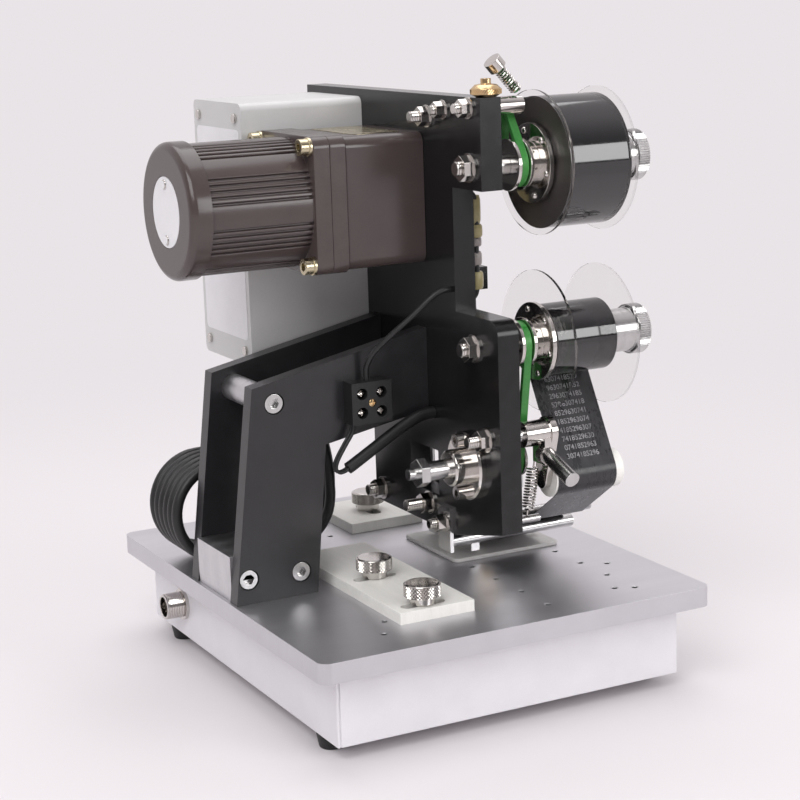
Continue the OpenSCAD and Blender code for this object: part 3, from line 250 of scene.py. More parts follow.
def srgb(r, g, b):
    def linear(v):
        v = v / 255
        return v / 12.92 if v <= 0.04045 else ((v + 0.055) / 1.055) ** 2.4
    return (linear(r), linear(g), linear(b), 1)


def even(scale):
    return (scale, scale, scale)


# one finish for each slot: two tones, how broad and how fine the grain is, the roughness range and the bump;
# the dark paints also carry a lighter tone for a painted edge highlight
finishes = {
    "deck_aluminium": {"pale": srgb(210, 209, 213), "deep": srgb(203, 202, 206), "stretch": (10, 60, 10),
                       "fine": (60, 2600, 60), "rough": (0.38, 0.43), "metallic": 1, "bump": 0.004},
    "box_paint": {"pale": srgb(226, 224, 228), "deep": srgb(218, 216, 220), "stretch": even(40),
                  "fine": even(2600), "rough": (0.34, 0.44), "bump": 0.02},
    "charcoal_paint": {"pale": srgb(35, 34, 36), "deep": srgb(33, 32, 34), "stretch": even(55),
                       "fine": even(2200), "rough": (0.28, 0.31), "bump": 0.02,
                       "bare": srgb(110, 110, 112), "rub": 0.06},
    "black_plate": {"pale": srgb(20, 20, 21), "deep": srgb(18, 18, 19), "stretch": (40, 25, 110),
                    "fine": (1500, 200, 2600), "rough": (0.2, 0.22), "bump": 0.01,
                    "bare": srgb(110, 110, 112), "rub": 0.06, "specular": 0.4},
    "bare_aluminium": {"pale": srgb(214, 213, 215), "deep": srgb(196, 196, 198), "stretch": (30, 120, 60),
                       "fine": (200, 2400, 900), "rough": (0.28, 0.4), "metallic": 1, "bump": 0.015},
    "steel": {"pale": srgb(204, 203, 203), "deep": srgb(190, 189, 188), "stretch": (300, 40, 40),
              "fine": (3200, 300, 300), "rough": (0.16, 0.26), "metallic": 1, "bump": 0.006},
    "nickel": {"pale": srgb(212, 208, 204), "deep": srgb(196, 192, 188), "stretch": even(90),
               "fine": even(1800), "rough": (0.08, 0.16), "metallic": 1, "bump": 0.004},
    "zinc_yellow": {"pale": srgb(206, 196, 168), "deep": srgb(188, 176, 148), "stretch": even(120),
                    "fine": even(1500), "rough": (0.2, 0.3), "metallic": 1, "bump": 0.008},
    "brass": {"pale": srgb(216, 188, 146), "deep": srgb(196, 166, 124), "stretch": (60, 60, 300),
              "fine": (300, 300, 3000), "rough": (0.18, 0.28), "metallic": 1, "bump": 0.008},
    "motor_paint": {"pale": srgb(74, 64, 63), "deep": srgb(69, 60, 59), "stretch": even(60),
                    "fine": even(1700), "rough": (0.16, 0.22), "bump": 0.012,
                    "bare": srgb(140, 132, 128), "rub": 0.06},
    "control_shell": {"pale": srgb(204, 203, 203), "deep": srgb(196, 195, 195), "stretch": even(30),
                      "fine": even(2100), "rough": (0.4, 0.5), "bump": 0.08},
    "black_plastic": {"pale": srgb(32, 32, 33), "deep": srgb(25, 25, 26), "stretch": even(70),
                      "fine": even(2100), "rough": (0.34, 0.46), "bump": 0.06},
    "clear_disc": {"pale": (0.95, 0.944, 0.94, 1), "deep": (0.938, 0.932, 0.928, 1), "stretch": even(25),
                   "fine": even(500), "rough": (0.0, 0.03), "bump": 0.0, "transmission": 1, "ior": 1.12},
    "ribbon_black": {"pale": srgb(15, 15, 17), "deep": srgb(11, 11, 13), "stretch": (400, 20, 20),
                     "fine": (900, 80, 80), "rough": (0.06, 0.11), "bump": 0.004, "specular": 1.0},
    "ribbon_used": {"pale": srgb(50, 49, 52), "deep": srgb(36, 35, 38), "stretch": (160, 60, 60),
                    "fine": (700, 300, 300), "rough": (0.24, 0.36), "bump": 0.02},
    "green_belt": {"pale": srgb(70, 150, 70), "deep": srgb(50, 124, 54), "stretch": even(110),
                   "fine": even(1400), "rough": (0.26, 0.38), "bump": 0.03},
    "nylon": {"pale": srgb(240, 238, 234), "deep": srgb(231, 229, 224), "stretch": (300, 40, 40),
              "fine": (2600, 400, 400), "rough": (0.34, 0.46), "bump": 0.03},
    "pad_rubber": {"pale": srgb(206, 203, 202), "deep": srgb(192, 189, 188), "stretch": even(80),
                   "fine": even(1500), "rough": (0.5, 0.62), "bump": 0.05},
    "black_rubber": {"pale": srgb(30, 30, 31), "deep": srgb(24, 24, 25), "stretch": even(80),
                     "fine": even(1600), "rough": (0.38, 0.5), "bump": 0.06},
    "white_label": {"pale": srgb(228, 227, 230), "deep": srgb(220, 219, 222), "stretch": even(50),
                    "fine": even(1500), "rough": (0.3, 0.42), "bump": 0.02},
}
bumpDepth = 0.0006  # metres
usualLook = {"metallic": 0, "transmission": 0, "ior": 1.5, "specular": 0.5}
lookSockets = {"metallic": "Metallic", "transmission": "Transmission Weight", "ior": "IOR",
               "specular": "Specular IOR Level"}


def finishName(slot):
    return slot.replace("_", " ").title().replace(" ", "")


def makeFinish(name, look):
    material = bpy.data.materials.new(name)
    material.use_nodes = True
    tree = material.node_tree
    shader = tree.nodes["Principled BSDF"]
    grain = addNode(tree, "ShaderNodeGroup", {"node_tree": grainGroup})
    for key in ("pale", "deep", "stretch", "fine"):
        grain.inputs[key].default_value = look[key]
    grain.inputs["smoothest"].default_value, grain.inputs["roughest"].default_value = look["rough"]
    colour = grain.outputs["colour"]
    # painted highlight: convex edges are made lighter towards the highlight tone
    if "rub" in look:
        rub = addNode(tree, "ShaderNodeGroup", {"node_tree": edgeHighlightGroup}, bare=look["bare"],
                      amount=look["rub"])
        tree.links.new(colour, rub.inputs["colour"])
        colour = rub.outputs["colour"]
    roughness = grain.outputs["roughness"]
    height = grain.outputs["height"]
    if "winding" in look:
        winding = look["winding"]
        rings = addNode(tree, "ShaderNodeGroup", {"node_tree": woundGroup}, centre=winding["centre"],
                        half=winding["half"])
        both = addNode(tree, "ShaderNodeMath", {"operation": "MULTIPLY_ADD"})
        tree.links.new(rings.outputs["rings"], both.inputs[0])
        tree.links.new(rings.outputs["ends"], both.inputs[1])
        tree.links.new(height, both.inputs[2])
        height = both.outputs[0]
        tone = addNode(tree, "ShaderNodeMix", {"data_type": "RGBA"}, B=winding["ends"])
        tree.links.new(rings.outputs["ends"], tone.inputs["Factor"])
        tree.links.new(colour, tone.inputs["A"])
        colour = tone.outputs["Result"]
        dull = addNode(tree, "ShaderNodeMapRange")
        dull.inputs["To Max"].default_value = winding["rough"]
        tree.links.new(rings.outputs["ends"], dull.inputs["Value"])
        tree.links.new(roughness, dull.inputs["To Min"])
        roughness = dull.outputs[0]
    tree.links.new(colour, shader.inputs["Base Color"])
    tree.links.new(roughness, shader.inputs["Roughness"])
    if look["bump"]:
        bump = addNode(tree, "ShaderNodeBump", Strength=look["bump"], Distance=bumpDepth)
        tree.links.new(height, bump.inputs["Height"])
        tree.links.new(bump.outputs["Normal"], shader.inputs["Normal"])
    for key, socket in lookSockets.items():
        shader.inputs[socket].default_value = look.get(key, usualLook[key])
    return material


surface = {slot: makeFinish(finishName(slot), look) for slot, look in finishes.items()}


def wear(piece, material):
    piece.data.materials.clear()
    piece.data.materials.append(material)


def dress(piece, body, slot, *stoodFor):
    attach(piece, body)
    wear(piece, surface[slot])
    if stoodFor:
        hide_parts(*stoodFor)
    return piece


print("finishes made:", len(surface))

# rigid pieces: a copy of each solid with its edges eased, in millimetres
edgeSize = {
    "base_plate": 0.6, "base_box": 1.4, "rubber_feet": 0.8, "column_side_near": 0.6, "column_side_far": 0.6,
    "main_plate": 0.6, "gearbox": 0.8, "motor_body": 0.4, "motor_end_cap": 0.6, "control_box": 1.6,
    "heater_block": 0.5, "type_holder": 0.3, "head_slide": 0.5, "back_stop": 0.6, "side_stop": 0.6,
    "terminal_block": 0.5, "post_blocks": 0.5, "print_pad": 0.8, "cord_plug": 1.2, "cord_tie": 0.3,
    "ribbon_web": 0, "takeup_belt": 0.4, "brake_band": 0.3, "upper_discs": 0.2, "lower_discs": 0.2,
    "ribbon_roll": 0.15, "takeup_core": 0.15,
}
usualEdge = 0.25
edgePlan = {"merge": 1e-6, "flatAngle": 0.4, "segments": 2, "sharpAngle": 40, "smoothAngle": 32,
            "weight": 100}
standAside = {"cord_lead", "cord_hank", "wiring", "lever_spring", "brake_spring"}


def easedCopy(name):
    piece = nodes[name].copy()
    piece.data = nodes[name].data.copy()
    piece.name = name + "Eased"
    for key in list(piece.keys()):
        del piece[key]
    piece.parent = None
    bpy.context.scene.collection.objects.link(piece)
    makeActive(piece)
    bpy.ops.object.mode_set(mode="EDIT")
    bpy.ops.mesh.select_all(action="SELECT")
    bpy.ops.mesh.remove_doubles(threshold=edgePlan["merge"])
    bpy.ops.mesh.dissolve_limited(angle_limit=math.radians(edgePlan["flatAngle"]))
    bpy.ops.object.mode_set(mode="OBJECT")
    width = edgeSize.get(name, usualEdge)
    if width:
        bevel = piece.modifiers.new("easedEdges", "BEVEL")
        bevel.width = width / 1000
        bevel.segments = edgePlan["segments"]
        bevel.limit_method = "ANGLE"
        bevel.angle_limit = math.radians(edgePlan["sharpAngle"])
        bevel.miter_outer = "MITER_ARC"
        bpy.ops.object.modifier_apply(modifier=bevel.name)
    smoothUnder(piece, edgePlan["smoothAngle"])
    flats = piece.modifiers.new("flatFaces", "WEIGHTED_NORMAL")
    flats.weight = edgePlan["weight"]
    flats.keep_sharp = True
    bpy.ops.object.modifier_apply(modifier=flats.name)
    return dress(piece, bodyOf[name], slotOf[name], name)


# the power cord: the route of its solids, in millimetres above the deck
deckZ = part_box("base_plate")[1].z * 1000
cordPlan = {
    "radius": 3.0, "gland": (-16.9, 46.5), "plugZ": 13.1,
    "lead": [(0, 0, 85), (0, 0, 76), (0.2, -1.6, 68), (0.5, -4.5, 60), (0.8, -7.4, 52), (1, -9, 44),
             (1, -9, 36.8)],
    "loops": 6, "steps": 24, "endRadius": 26, "halfLength": 45, "pitch": 6.6,
    "middle": (-60.9, 37.5, 30.8), "easing": 3,
}
turnStep = 18  # degrees: five steps make a quarter turn


def hankTurn(k):
    # each loop: a quarter turn, a straight, a half turn, a straight and a quarter turn
    if k <= 5:
        return -turnStep * k
    if k <= 7:
        return -90
    if k <= 17:
        return -90 - turnStep * (k - 7)
    return -270 if k <= 19 else -270 - turnStep * (k - 19)


def cordRoute(plan):
    points = [(plan["gland"][0] + x, plan["gland"][1] + y, z) for x, y, z in plan["lead"]]
    midX, startY, midZ = plan["middle"]
    r = plan["endRadius"]
    reach = plan["halfLength"] - r
    for i in range(plan["loops"] * plan["steps"] + 1):
        k = i % plan["steps"]
        a = math.radians(hankTurn(k))
        side = 1 if k <= 5 or k >= 19 else 0 if k in (6, 18) else -1
        points.append((midX + side * reach + r * math.cos(a), startY + plan["pitch"] * i / plan["steps"],
                       midZ + r * math.sin(a)))
    endX, endY, endZ = points[-1]
    drop = endZ - plan["plugZ"]
    for a in (math.radians(d) for d in range(turnStep, 91, turnStep)):
        points.append((endX, endY + drop * (1 - math.cos(a)), endZ - drop * math.sin(a)))
    points.append((endX, endY + drop + 2 * plan["radius"], plan["plugZ"]))
    return [mm(x, y, z + deckZ) for x, y, z in points]


def eased(points, steps):
    # a smooth line through the points
    line = []
    for i in range(len(points) - 1):
        a, b = points[max(0, i - 1)], points[i]
        c, d = points[i + 1], points[min(len(points) - 1, i + 2)]
        for t in (s / steps for s in range(steps)):
            line.append(b + 0.5 * t * (c - a + t * (2 * a - 5 * b + 4 * c - d + t * (3 * (b - c) + d - a))))
    return line + [points[-1]]


def lineLength(points):
    return sum((b - a).length for a, b in zip(points, points[1:]))


tubeSmooth = 40


def tubeAlong(name, points, radius, roundness=5):
    curve = bpy.data.curves.new(name, "CURVE")
    curve.dimensions = "3D"
    curve.bevel_depth = radius
    curve.bevel_resolution = roundness
    curve.use_fill_caps = True
    line = curve.splines.new("POLY")
    line.points.add(len(points) - 1)
    for spot, p in zip(line.points, points):
        spot.co = (*p, 1)
    line.use_smooth = True
    piece = bpy.data.objects.new(name, curve)
    bpy.context.scene.collection.objects.link(piece)
    makeActive(piece)
    bpy.ops.object.convert(target="MESH")
    smoothUnder(bpy.context.object, tubeSmooth)
    return bpy.context.object


def layCord(name, points, radius, slot, stoodFor, **facts):
    piece = tubeAlong(name, points, radius)
    dress(piece, "frame", slot, *stoodFor)
    return piece


cordLine = eased(cordRoute(cordPlan), cordPlan["easing"])
rigid = {name: easedCopy(name) for name in ("cord_plug", "cord_tie")}
layCord("powerCord", cordLine, cordPlan["radius"] / 1000, "black_rubber", ("cord_lead", "cord_hank"),
        far_end="plug", stiffness="medium", lay="coiled", with_pieces=list(rigid.values()))
print("cord laid:", round(lineLength(cordLine), 3), "m")

# leads inside the machine, held at both ends: places from the back of the main plate, in millimetres
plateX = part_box("main_plate")[0].x * 1000
plateThickness = 12
wirePlan = {
    "motorLead": {"radius": 1.5, "points": [
        (0, -58, 156), (-4, -58, 156), (-10, -57, 153), (-19, -53, 144), (-29, -47, 134), (-36, -41, 125),
        (-38.3, -37, 118), (-38.5, -36, 114), (-38.5, -36, 110)]},
    "heaterSheath": {"radius": 3.2, "points": [
        (0, -36, 88), (-3, -36, 88), (-9, -36, 87), (-16, -36, 84), (-24, -36, 80), (-32, -36, 75.5),
        (-40, -36, 71), (-48, -36, 66.5), (-51, -36, 65)]},
}
sheathCore = [(-51.2, -36, 64.9), (-53.3, -36, 63.9), (-56, -36, 63.6), (-57.9, -36, 65.2), (-57.9, -36, 68),
              (-56, -36, 72), (-52, -36, 78), (-48.5, -36, 83), (-47.5, -36, 86), (-47.5, -36, 88)]
heaterLead = [(0, -52, 205), (1.5, -52, 205), (4.2, -52, 204), (6.4, -52, 201.6), (7.3, -52, 198),
              (7.5, -52, 186), (7.2, -52, 172), (7.5, -52, 158), (7.3, -52, 155), (6.4, -52, 151.4),
              (4.2, -52, 149), (1.5, -52, 148), (0, -52, 148)]
pairPlan = {"coreApart": 1.3, "coreRadius": 0.9, "heaterApart": 3.6, "heaterRadius": 1.5, "easing": 5}
for n, letter in enumerate("AB"):
    wirePlan["sheathCore" + letter] = {
        "radius": pairPlan["coreRadius"],
        "points": [(x, y + (2 * n - 1) * pairPlan["coreApart"], z) for x, y, z in sheathCore]}
    wirePlan["heaterLead" + letter] = {
        "radius": pairPlan["heaterRadius"],
        "points": [(x + plateThickness, y + n * pairPlan["heaterApart"], z) for x, y, z in heaterLead]}
for wireName, wire in wirePlan.items():
    line = eased([mm(plateX + x, y, z + deckZ) for x, y, z in wire["points"]], pairPlan["easing"])
    layCord(wireName, line, wire["radius"] / 1000, "black_rubber", ("wiring",), far_end="object",
            stiffness="medium", lay="hanging")
print("leads laid:", len(wirePlan))

for name in sorted(set(nodes) - standAside - set(rigid)):
    rigid[name] = easedCopy(name)

# the two windings show the edges of the film on their end faces
windingPlan = {"ends": srgb(54, 47, 45), "rough": 0.55, "skin": 0.0003}
for name in ("ribbon_roll", "takeup_core"):
    low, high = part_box(name)
    winding = {**windingPlan, "centre": (low + high) / 2,
               "half": (high.x - low.x) / 2 - windingPlan["skin"]}
    wear(rigid[name], makeFinish(finishName(name), {**finishes["ribbon_black"], "winding": winding}))
print("edges eased:", len(rigid))


# turned forms: rings of (height, radius) drawn up from a circle, then stood along an axis
# at a place in millimetres
def turnedForm(name, rings, sides, place, axis):
    deselectAll()
    firstHeight, firstRadius = rings[0]
    bpy.ops.mesh.primitive_circle_add(vertices=sides, radius=firstRadius / 1000, fill_type="NGON",
                                      location=(0, 0, firstHeight / 1000))
    piece = bpy.context.object
    piece.name = name
    bpy.ops.object.transform_apply(location=True)
    bpy.ops.object.mode_set(mode="EDIT")
    for (h0, r0), (h1, r1) in zip(rings, rings[1:]):
        bpy.ops.mesh.extrude_region_move(TRANSFORM_OT_translate={"value": (0, 0, (h1 - h0) / 1000)})
        bpy.ops.transform.resize(value=(r1 / r0, r1 / r0, 1), center_override=(0, 0, h1 / 1000))
    bpy.ops.mesh.select_all(action="SELECT")
    bpy.ops.mesh.normals_make_consistent(inside=False)
    bpy.ops.object.mode_set(mode="OBJECT")
    standAlong(piece, place, axis)
    return piece


def standAlong(piece, place, axis):
    makeActive(piece)
    piece.rotation_euler = Vector(axis).to_track_quat("Z", "Y").to_euler()
    piece.location = mm(*place)
    bpy.ops.object.transform_apply(location=True, rotation=True, scale=True)


# knurled grips: every other point of a grid of rings stands proud
knobGrip = {"grip": 6.4, "inset": 0.8, "teeth": 62, "rows": 4, "depth": 0.55, "axis": (1, 0, 0),
            "straight": True}
nutGrip = {"grip": 5.8, "inset": 0.6, "teeth": 38, "rows": 6, "depth": 0.6, "axis": (0, 0, 1)}
knurlPlan = {
    "upper_knob": knobGrip, "lower_knob": knobGrip,
    "back_nut_near": nutGrip, "back_nut_far": nutGrip, "side_nut": nutGrip,
    "brass_adjuster": {"grip": 2.4, "inset": 5.1, "teeth": 40, "rows": 3, "depth": 0.3, "axis": (0, 0, 1)},
}
knurlSkin = {"proud": 0.02, "under": 0.5, "rimBand": 0.1}


def knurledGrip(name, plan):
    low, high, middle = boxOf(name)
    along = 0 if plan["axis"][0] else 2
    radius = (high.y - low.y) / 2
    start = high[along] - plan["inset"] - plan["grip"]
    place = (start, middle.y, middle.z) if along == 0 else (middle.x, middle.y, start)
    step = plan["grip"] / plan["rows"]
    under = radius - knurlSkin["under"]
    rings = [(0, under)] + [(k * step, radius + knurlSkin["proud"]) for k in range(plan["rows"] + 1)]
    rings += [(plan["grip"], under)]
    sides = 2 * plan["teeth"]
    piece = turnedForm(name + "Grip", rings, sides, (0, 0, 0), (0, 0, 1))
    for part in (*piece.data.edges, *piece.data.polygons):
        part.select = False
    for v in piece.data.vertices:
        spoke = round(math.atan2(v.co.y, v.co.x) / (2 * math.pi / sides))
        row = round(v.co.z * 1000 / step)
        onRim = math.hypot(v.co.x, v.co.y) * 1000 > radius - knurlSkin["rimBand"]
        v.select = onRim and (spoke if plan.get("straight") else spoke + row) % 2 == 0
    makeActive(piece)
    bpy.ops.object.mode_set(mode="EDIT")
    bpy.context.tool_settings.mesh_select_mode = (True, False, False)
    grow = 1 + plan["depth"] / radius
    bpy.ops.transform.resize(value=(grow, grow, 1), center_override=(0, 0, 0))
    bpy.ops.object.mode_set(mode="OBJECT")
    standAlong(piece, place, plan["axis"])
    return dress(piece, bodyOf[name], slotOf[name])


for knurlName, plan in knurlPlan.items():
    knurledGrip(knurlName, plan)
print("grips knurled:", len(knurlPlan))

# threads on the stud ends behind the main plate: each stud's y, z, radius, length and lift off its nut
threadPlan = {
    "pitch": 1.0, "depth": 0.3, "root": 0.03, "over": 0.05, "chamfer": 0.25, "sides": 24,
    "washer": 1.2, "nut": 5, "smoothAngle": 25,
    "studs": [(-40, 243, 2.6, 5, 0), (-57, 247, 2.18, 2, 0), (-82.5, 248.8, 2.39, 3, 0),
              (-82, 219.5, 3.38, 2.5, 0), (-82, 129, 3.38, 2.5, 0), (-93, 84, 2.86, 6, 0),
              (-30, 38, 2.86, 9, 0), (25, 34, 2.86, 4, 0), (-50, 32, 2.39, 4, 2)],
}
nutFace = plateX - threadPlan["washer"] - threadPlan["nut"]


def studThread(name, plan, place, radius, length):
    count = max(2, round(length / plan["pitch"]))
    step = length / count
    rings = []
    for k in range(count):
        rings += [(k * step, radius + plan["root"]), ((k + 0.5) * step, radius + plan["depth"])]
    rings += [(length + plan["over"], radius - plan["chamfer"])]
    piece = turnedForm(name, rings, plan["sides"], place, (-1, 0, 0))
    smoothUnder(piece, plan["smoothAngle"])
    return dress(piece, "frame", "nickel")


for n, (y, z, radius, length, lift) in enumerate(threadPlan["studs"]):
    studThread("studThread%d" % n, threadPlan, (nutFace - lift, y, z + deckZ), radius, length)


# the foot-switch socket has a threaded barrel with an open mouth
socketPlan = {"radius": 7.0, "reach": 10, "length": 9.2, "pitch": 1.0, "depth": 0.3, "wall": 0.4,
              "root": 0.03, "mouth": 0.1, "valley": 0.2, "crest": 0.6, "sides": 48, "smoothAngle": 25}


def socketThread(plan):
    low, _, middle = boxOf("foot_switch_socket")
    count = round(plan["length"] / plan["pitch"])
    rings = [(0, plan["radius"] - plan["mouth"])]
    for k in range(count):
        rings += [(k * plan["pitch"] + plan["valley"], plan["radius"] + plan["root"]),
                  ((k + plan["crest"]) * plan["pitch"], plan["radius"] + plan["depth"])]
    rings += [(plan["length"], plan["radius"] - plan["mouth"])]
    piece = turnedForm("socketThread", rings, plan["sides"], (0, 0, 0), (0, 0, 1))
    makeActive(piece)
    bpy.ops.object.mode_set(mode="EDIT")
    bpy.context.tool_settings.mesh_select_mode = (False, False, True)
    bpy.ops.mesh.select_all(action="DESELECT")
    bpy.ops.object.mode_set(mode="OBJECT")
    for face in piece.data.polygons:
        face.select = len(face.vertices) > 4  # the two closed ends
    bpy.ops.object.mode_set(mode="EDIT")
    bpy.ops.mesh.delete(type="FACE")
    bpy.ops.object.mode_set(mode="OBJECT")
    wall = piece.modifiers.new("barrelWall", "SOLIDIFY")
    wall.thickness = plan["wall"] / 1000
    bpy.ops.object.modifier_apply(modifier=wall.name)
    smoothUnder(piece, plan["smoothAngle"])
    standAlong(piece, (low.x + plan["reach"], middle.y, middle.z), (-1, 0, 0))
    return dress(piece, bodyOf["foot_switch_socket"], slotOf["foot_switch_socket"])


socketThread(socketPlan)
print("threads cut:", len(threadPlan["studs"]) + 1)


# each tapped hole in the deck has a bright lip just inside its mouth
holePlan = {"radius": 1.85, "wire": 0.4, "flat": 0.6, "sunk": 0.3, "segments": (32, 8), "smoothAngle": 60,
            "rows": (25, 77.5), "first": -36.5, "pitch": 26, "count": 4,
            "single": [(-57, -93), (-66, -110), (89, -71), (68, -110), (-13, 61)]}


def holeRims(plan):
    _, high, middle = boxOf("base_plate")
    around, across = plan["segments"]
    spots = [(x, plan["first"] - k * plan["pitch"]) for x in plan["rows"] for k in range(plan["count"])]
    rims = []
    for x, y in spots + plan["single"]:
        deselectAll()
        bpy.ops.mesh.primitive_torus_add(
            major_segments=around, minor_segments=across, major_radius=plan["radius"] / 1000,
            minor_radius=plan["wire"] / 1000, location=mm(middle.x + x, middle.y + y, high.z - plan["sunk"]))
        bpy.context.object.scale.z = plan["flat"]
        rims.append(bpy.context.object)
    for rim in rims:
        rim.select_set(True)
    bpy.ops.object.transform_apply(location=True, rotation=True, scale=True)
    bpy.ops.object.join()
    piece = bpy.context.object
    piece.name = "holeRims"
    smoothUnder(piece, plan["smoothAngle"])
    return dress(piece, "frame", "bare_aluminium")


holeRims(holePlan)
print("hole rims set")

# small screw heads: a low dome as shares of its height and radius, with a cross cut into the larger ones
domePlan = {"shape": [(0, 1), (0.4, 0.96), (0.8, 0.72), (1, 0.3)], "sides": 24, "smoothAngle": 35,
            "cross": (1.3, 0.26, 0.9)}


def domeScrew(name, place, axis, head, body, slot, crossed=False):
    radius, height = head["radius"], head["height"]
    rings = [(h * height, r * radius) for h, r in domePlan["shape"]]
    piece = turnedForm(name, rings, domePlan["sides"], (0, 0, 0), (0, 0, 1))
    crossLong, crossWide, crossDeep = domePlan["cross"]
    for turn in (0, 90) if crossed else ():
        deselectAll()
        bpy.ops.mesh.primitive_cube_add(size=0.001, location=(0, 0, height / 1000))
        cutter = bpy.context.object
        cutter.scale = (crossLong * radius, crossWide * radius, crossDeep * height)
        cutter.rotation_euler.z = math.radians(turn)
        cross = piece.modifiers.new("crossCut", "BOOLEAN")
        cross.object = cutter
        makeActive(piece)
        bpy.ops.object.modifier_apply(modifier=cross.name)
        bpy.data.objects.remove(cutter)
    smoothUnder(piece, domePlan["smoothAngle"])
    standAlong(piece, place, axis)
    return dress(piece, body, slot)


# six heads on each pulley hub's flange, two on the motor's round plate, five on the terminal block
headPlan = {
    "hub": {"count": 6, "circle": 16.6, "flange": 2.4, "start": 0.25, "radius": 1.7, "height": 1.1},
    "plate": {"reach": 14, "sunk": 0.82, "radius": 2.6, "height": 0.78},
    "well": {"spots": ((6, 6), (17, 6), (6, 16), (17, 16)), "deep": 5, "radius": 2.5, "height": 3.6},
    "middle": {"spot": (11.5, 11), "radius": 2.1, "height": 1.0},
}
head = headPlan["hub"]
for hub, discs in (("upper_hub", "upper_discs"), ("lower_hub", "lower_discs")):
    low, high, middle = boxOf(discs)
    for k in range(head["count"]):
        turn = 2 * math.pi * (k + head["start"]) / head["count"]
        spot = (low.x - head["flange"], middle.y + head["circle"] * math.cos(turn),
                middle.z + head["circle"] * math.sin(turn))
        domeScrew("%sHead%d" % (hub, k), spot, (-1, 0, 0), head, bodyOf[hub], "nickel")
head = headPlan["plate"]
low, high, middle = boxOf("motor_nameplate")
for side in (-1, 1):
    spot = (low.x + head["sunk"], middle.y, middle.z + side * head["reach"])
    domeScrew("roundPlateHead%d" % side, spot, (-1, 0, 0), head, "frame", "nickel", crossed=True)
head = headPlan["well"]
low, high, middle = boxOf("terminal_block")
for k, (x, z) in enumerate(head["spots"]):
    spot = (low.x + x, low.y + head["deep"], low.z + z)
    domeScrew("terminalHead%d" % k, spot, (0, -1, 0), head, "frame", "nickel", crossed=True)
head = headPlan["middle"]
spot = (low.x + head["spot"][0], low.y, low.z + head["spot"][1])
domeScrew("terminalMiddle", spot, (0, -1, 0), head, "frame", "brass", crossed=True)
print("heads set")

# springs: radius of the wire and the coil, turns, straight lead at each end, foot, length and lean
springPlan = {
    "lever_spring": {"wire": 0.5, "coil": 2.9, "turns": 15, "lead": 3.0, "foot": (36.2, -88.5, deckZ + 40),
                     "length": 28.46, "axis": (0.1792, 0, 0.9838)},
    "brake_spring": {"wire": 0.45, "coil": 2.7, "turns": 10, "lead": 0.45,
                     "foot": (38.88, -82.5, deckZ + 255.71), "length": 15.5, "axis": (-0.6691, 0, 0.7431)},
}
coilPlan = {"steps": 20, "hookShare": 0.6, "longLead": 1, "roundness": 2}


def springLine(plan):
    steps = coilPlan["steps"]
    hook = plan["lead"] * coilPlan["hookShare"]
    count = plan["turns"] * steps
    rise = (plan["length"] - 2 * plan["lead"]) / count
    turnQuat = Vector(plan["axis"]).to_track_quat("Z", "Y")
    hooked = plan["lead"] > coilPlan["longLead"]
    line = [(0, 0, 0), (0, 0, hook)] if hooked else []
    for i in range(count + 1):
        a = 2 * math.pi * i / steps
        r = plan["coil"] * (min(1, min(i, count - i) / (steps / 2)) if hooked else 1)
        line.append((r * math.cos(a), r * math.sin(a), plan["lead"] + rise * i))
    if hooked:
        line += [(0, 0, plan["length"] - hook), (0, 0, plan["length"])]
    return [mm(*plan["foot"]) + turnQuat @ mm(*p) for p in line]


for springName, plan in springPlan.items():
    spring = tubeAlong(springName + "Wound", springLine(plan), plan["wire"] / 1000, coilPlan["roundness"])
    dress(spring, bodyOf[springName], "nickel", springName)
print("springs wound:", len(springPlan))

# sleeves and beads round the pair of heater leads: lower end, upper end, radius, finish;
# the shape is a share of the height and a step in from the radius
sleevePlan = {
    "shape": [(0, 0.7), (0.15, 0.1), (0.5, 0), (0.85, 0.1), (1, 0.7)], "sides": 32, "smoothAngle": 50,
    "place": (31.1, -50.2), "cream": srgb(178, 166, 122), "creamDeep": srgb(158, 146, 104),
    "grey": srgb(158, 150, 148), "greyDeep": srgb(138, 130, 128),
    "beads": [(187, 202, 3.5, "cream"), (180.4, 187, 4.2, "cream"), (175.6, 180.4, 3.6, "grey"),
              (165.6, 173, 3.6, "grey"), (153.6, 162.6, 4.2, "cream")],
}
sleeveLook = {
    tone: makeFinish(tone + "Sleeve", {"pale": sleevePlan[tone], "deep": sleevePlan[tone + "Deep"],
                                       "stretch": even(160), "fine": even(1600), "rough": (0.3, 0.42),
                                       "bump": 0.03})
    for tone in ("cream", "grey")}
for k, (low, high, radius, tone) in enumerate(sleevePlan["beads"]):
    rise = high - low
    rings = [(h * rise, radius - step) for h, step in sleevePlan["shape"]]
    place = (*sleevePlan["place"], deckZ + low)
    bead = turnedForm("leadSleeve%d" % k, rings, sleevePlan["sides"], place, (0, 0, 1))
    smoothUnder(bead, sleevePlan["smoothAngle"])
    dress(bead, "frame", "nylon")
    wear(bead, sleeveLook[tone])
print("sleeves set:", len(sleevePlan["beads"]))

# bare plates: what carries them, the face, the margin left round them and the corner, in millimetres
platePlan = {
    "controlLabel": {"slot": "white_label", "on": "control_box", "face": "-x", "margin": (4, 14), "corner": 3,
                     "thick": 0.25},
    "caseLabel": {"slot": "zinc_yellow", "on": "gearbox", "face": "+z", "margin": (9, 9), "corner": 2,
                  "thick": 0.25, "flange": 9, "sunk": 1.05},
}


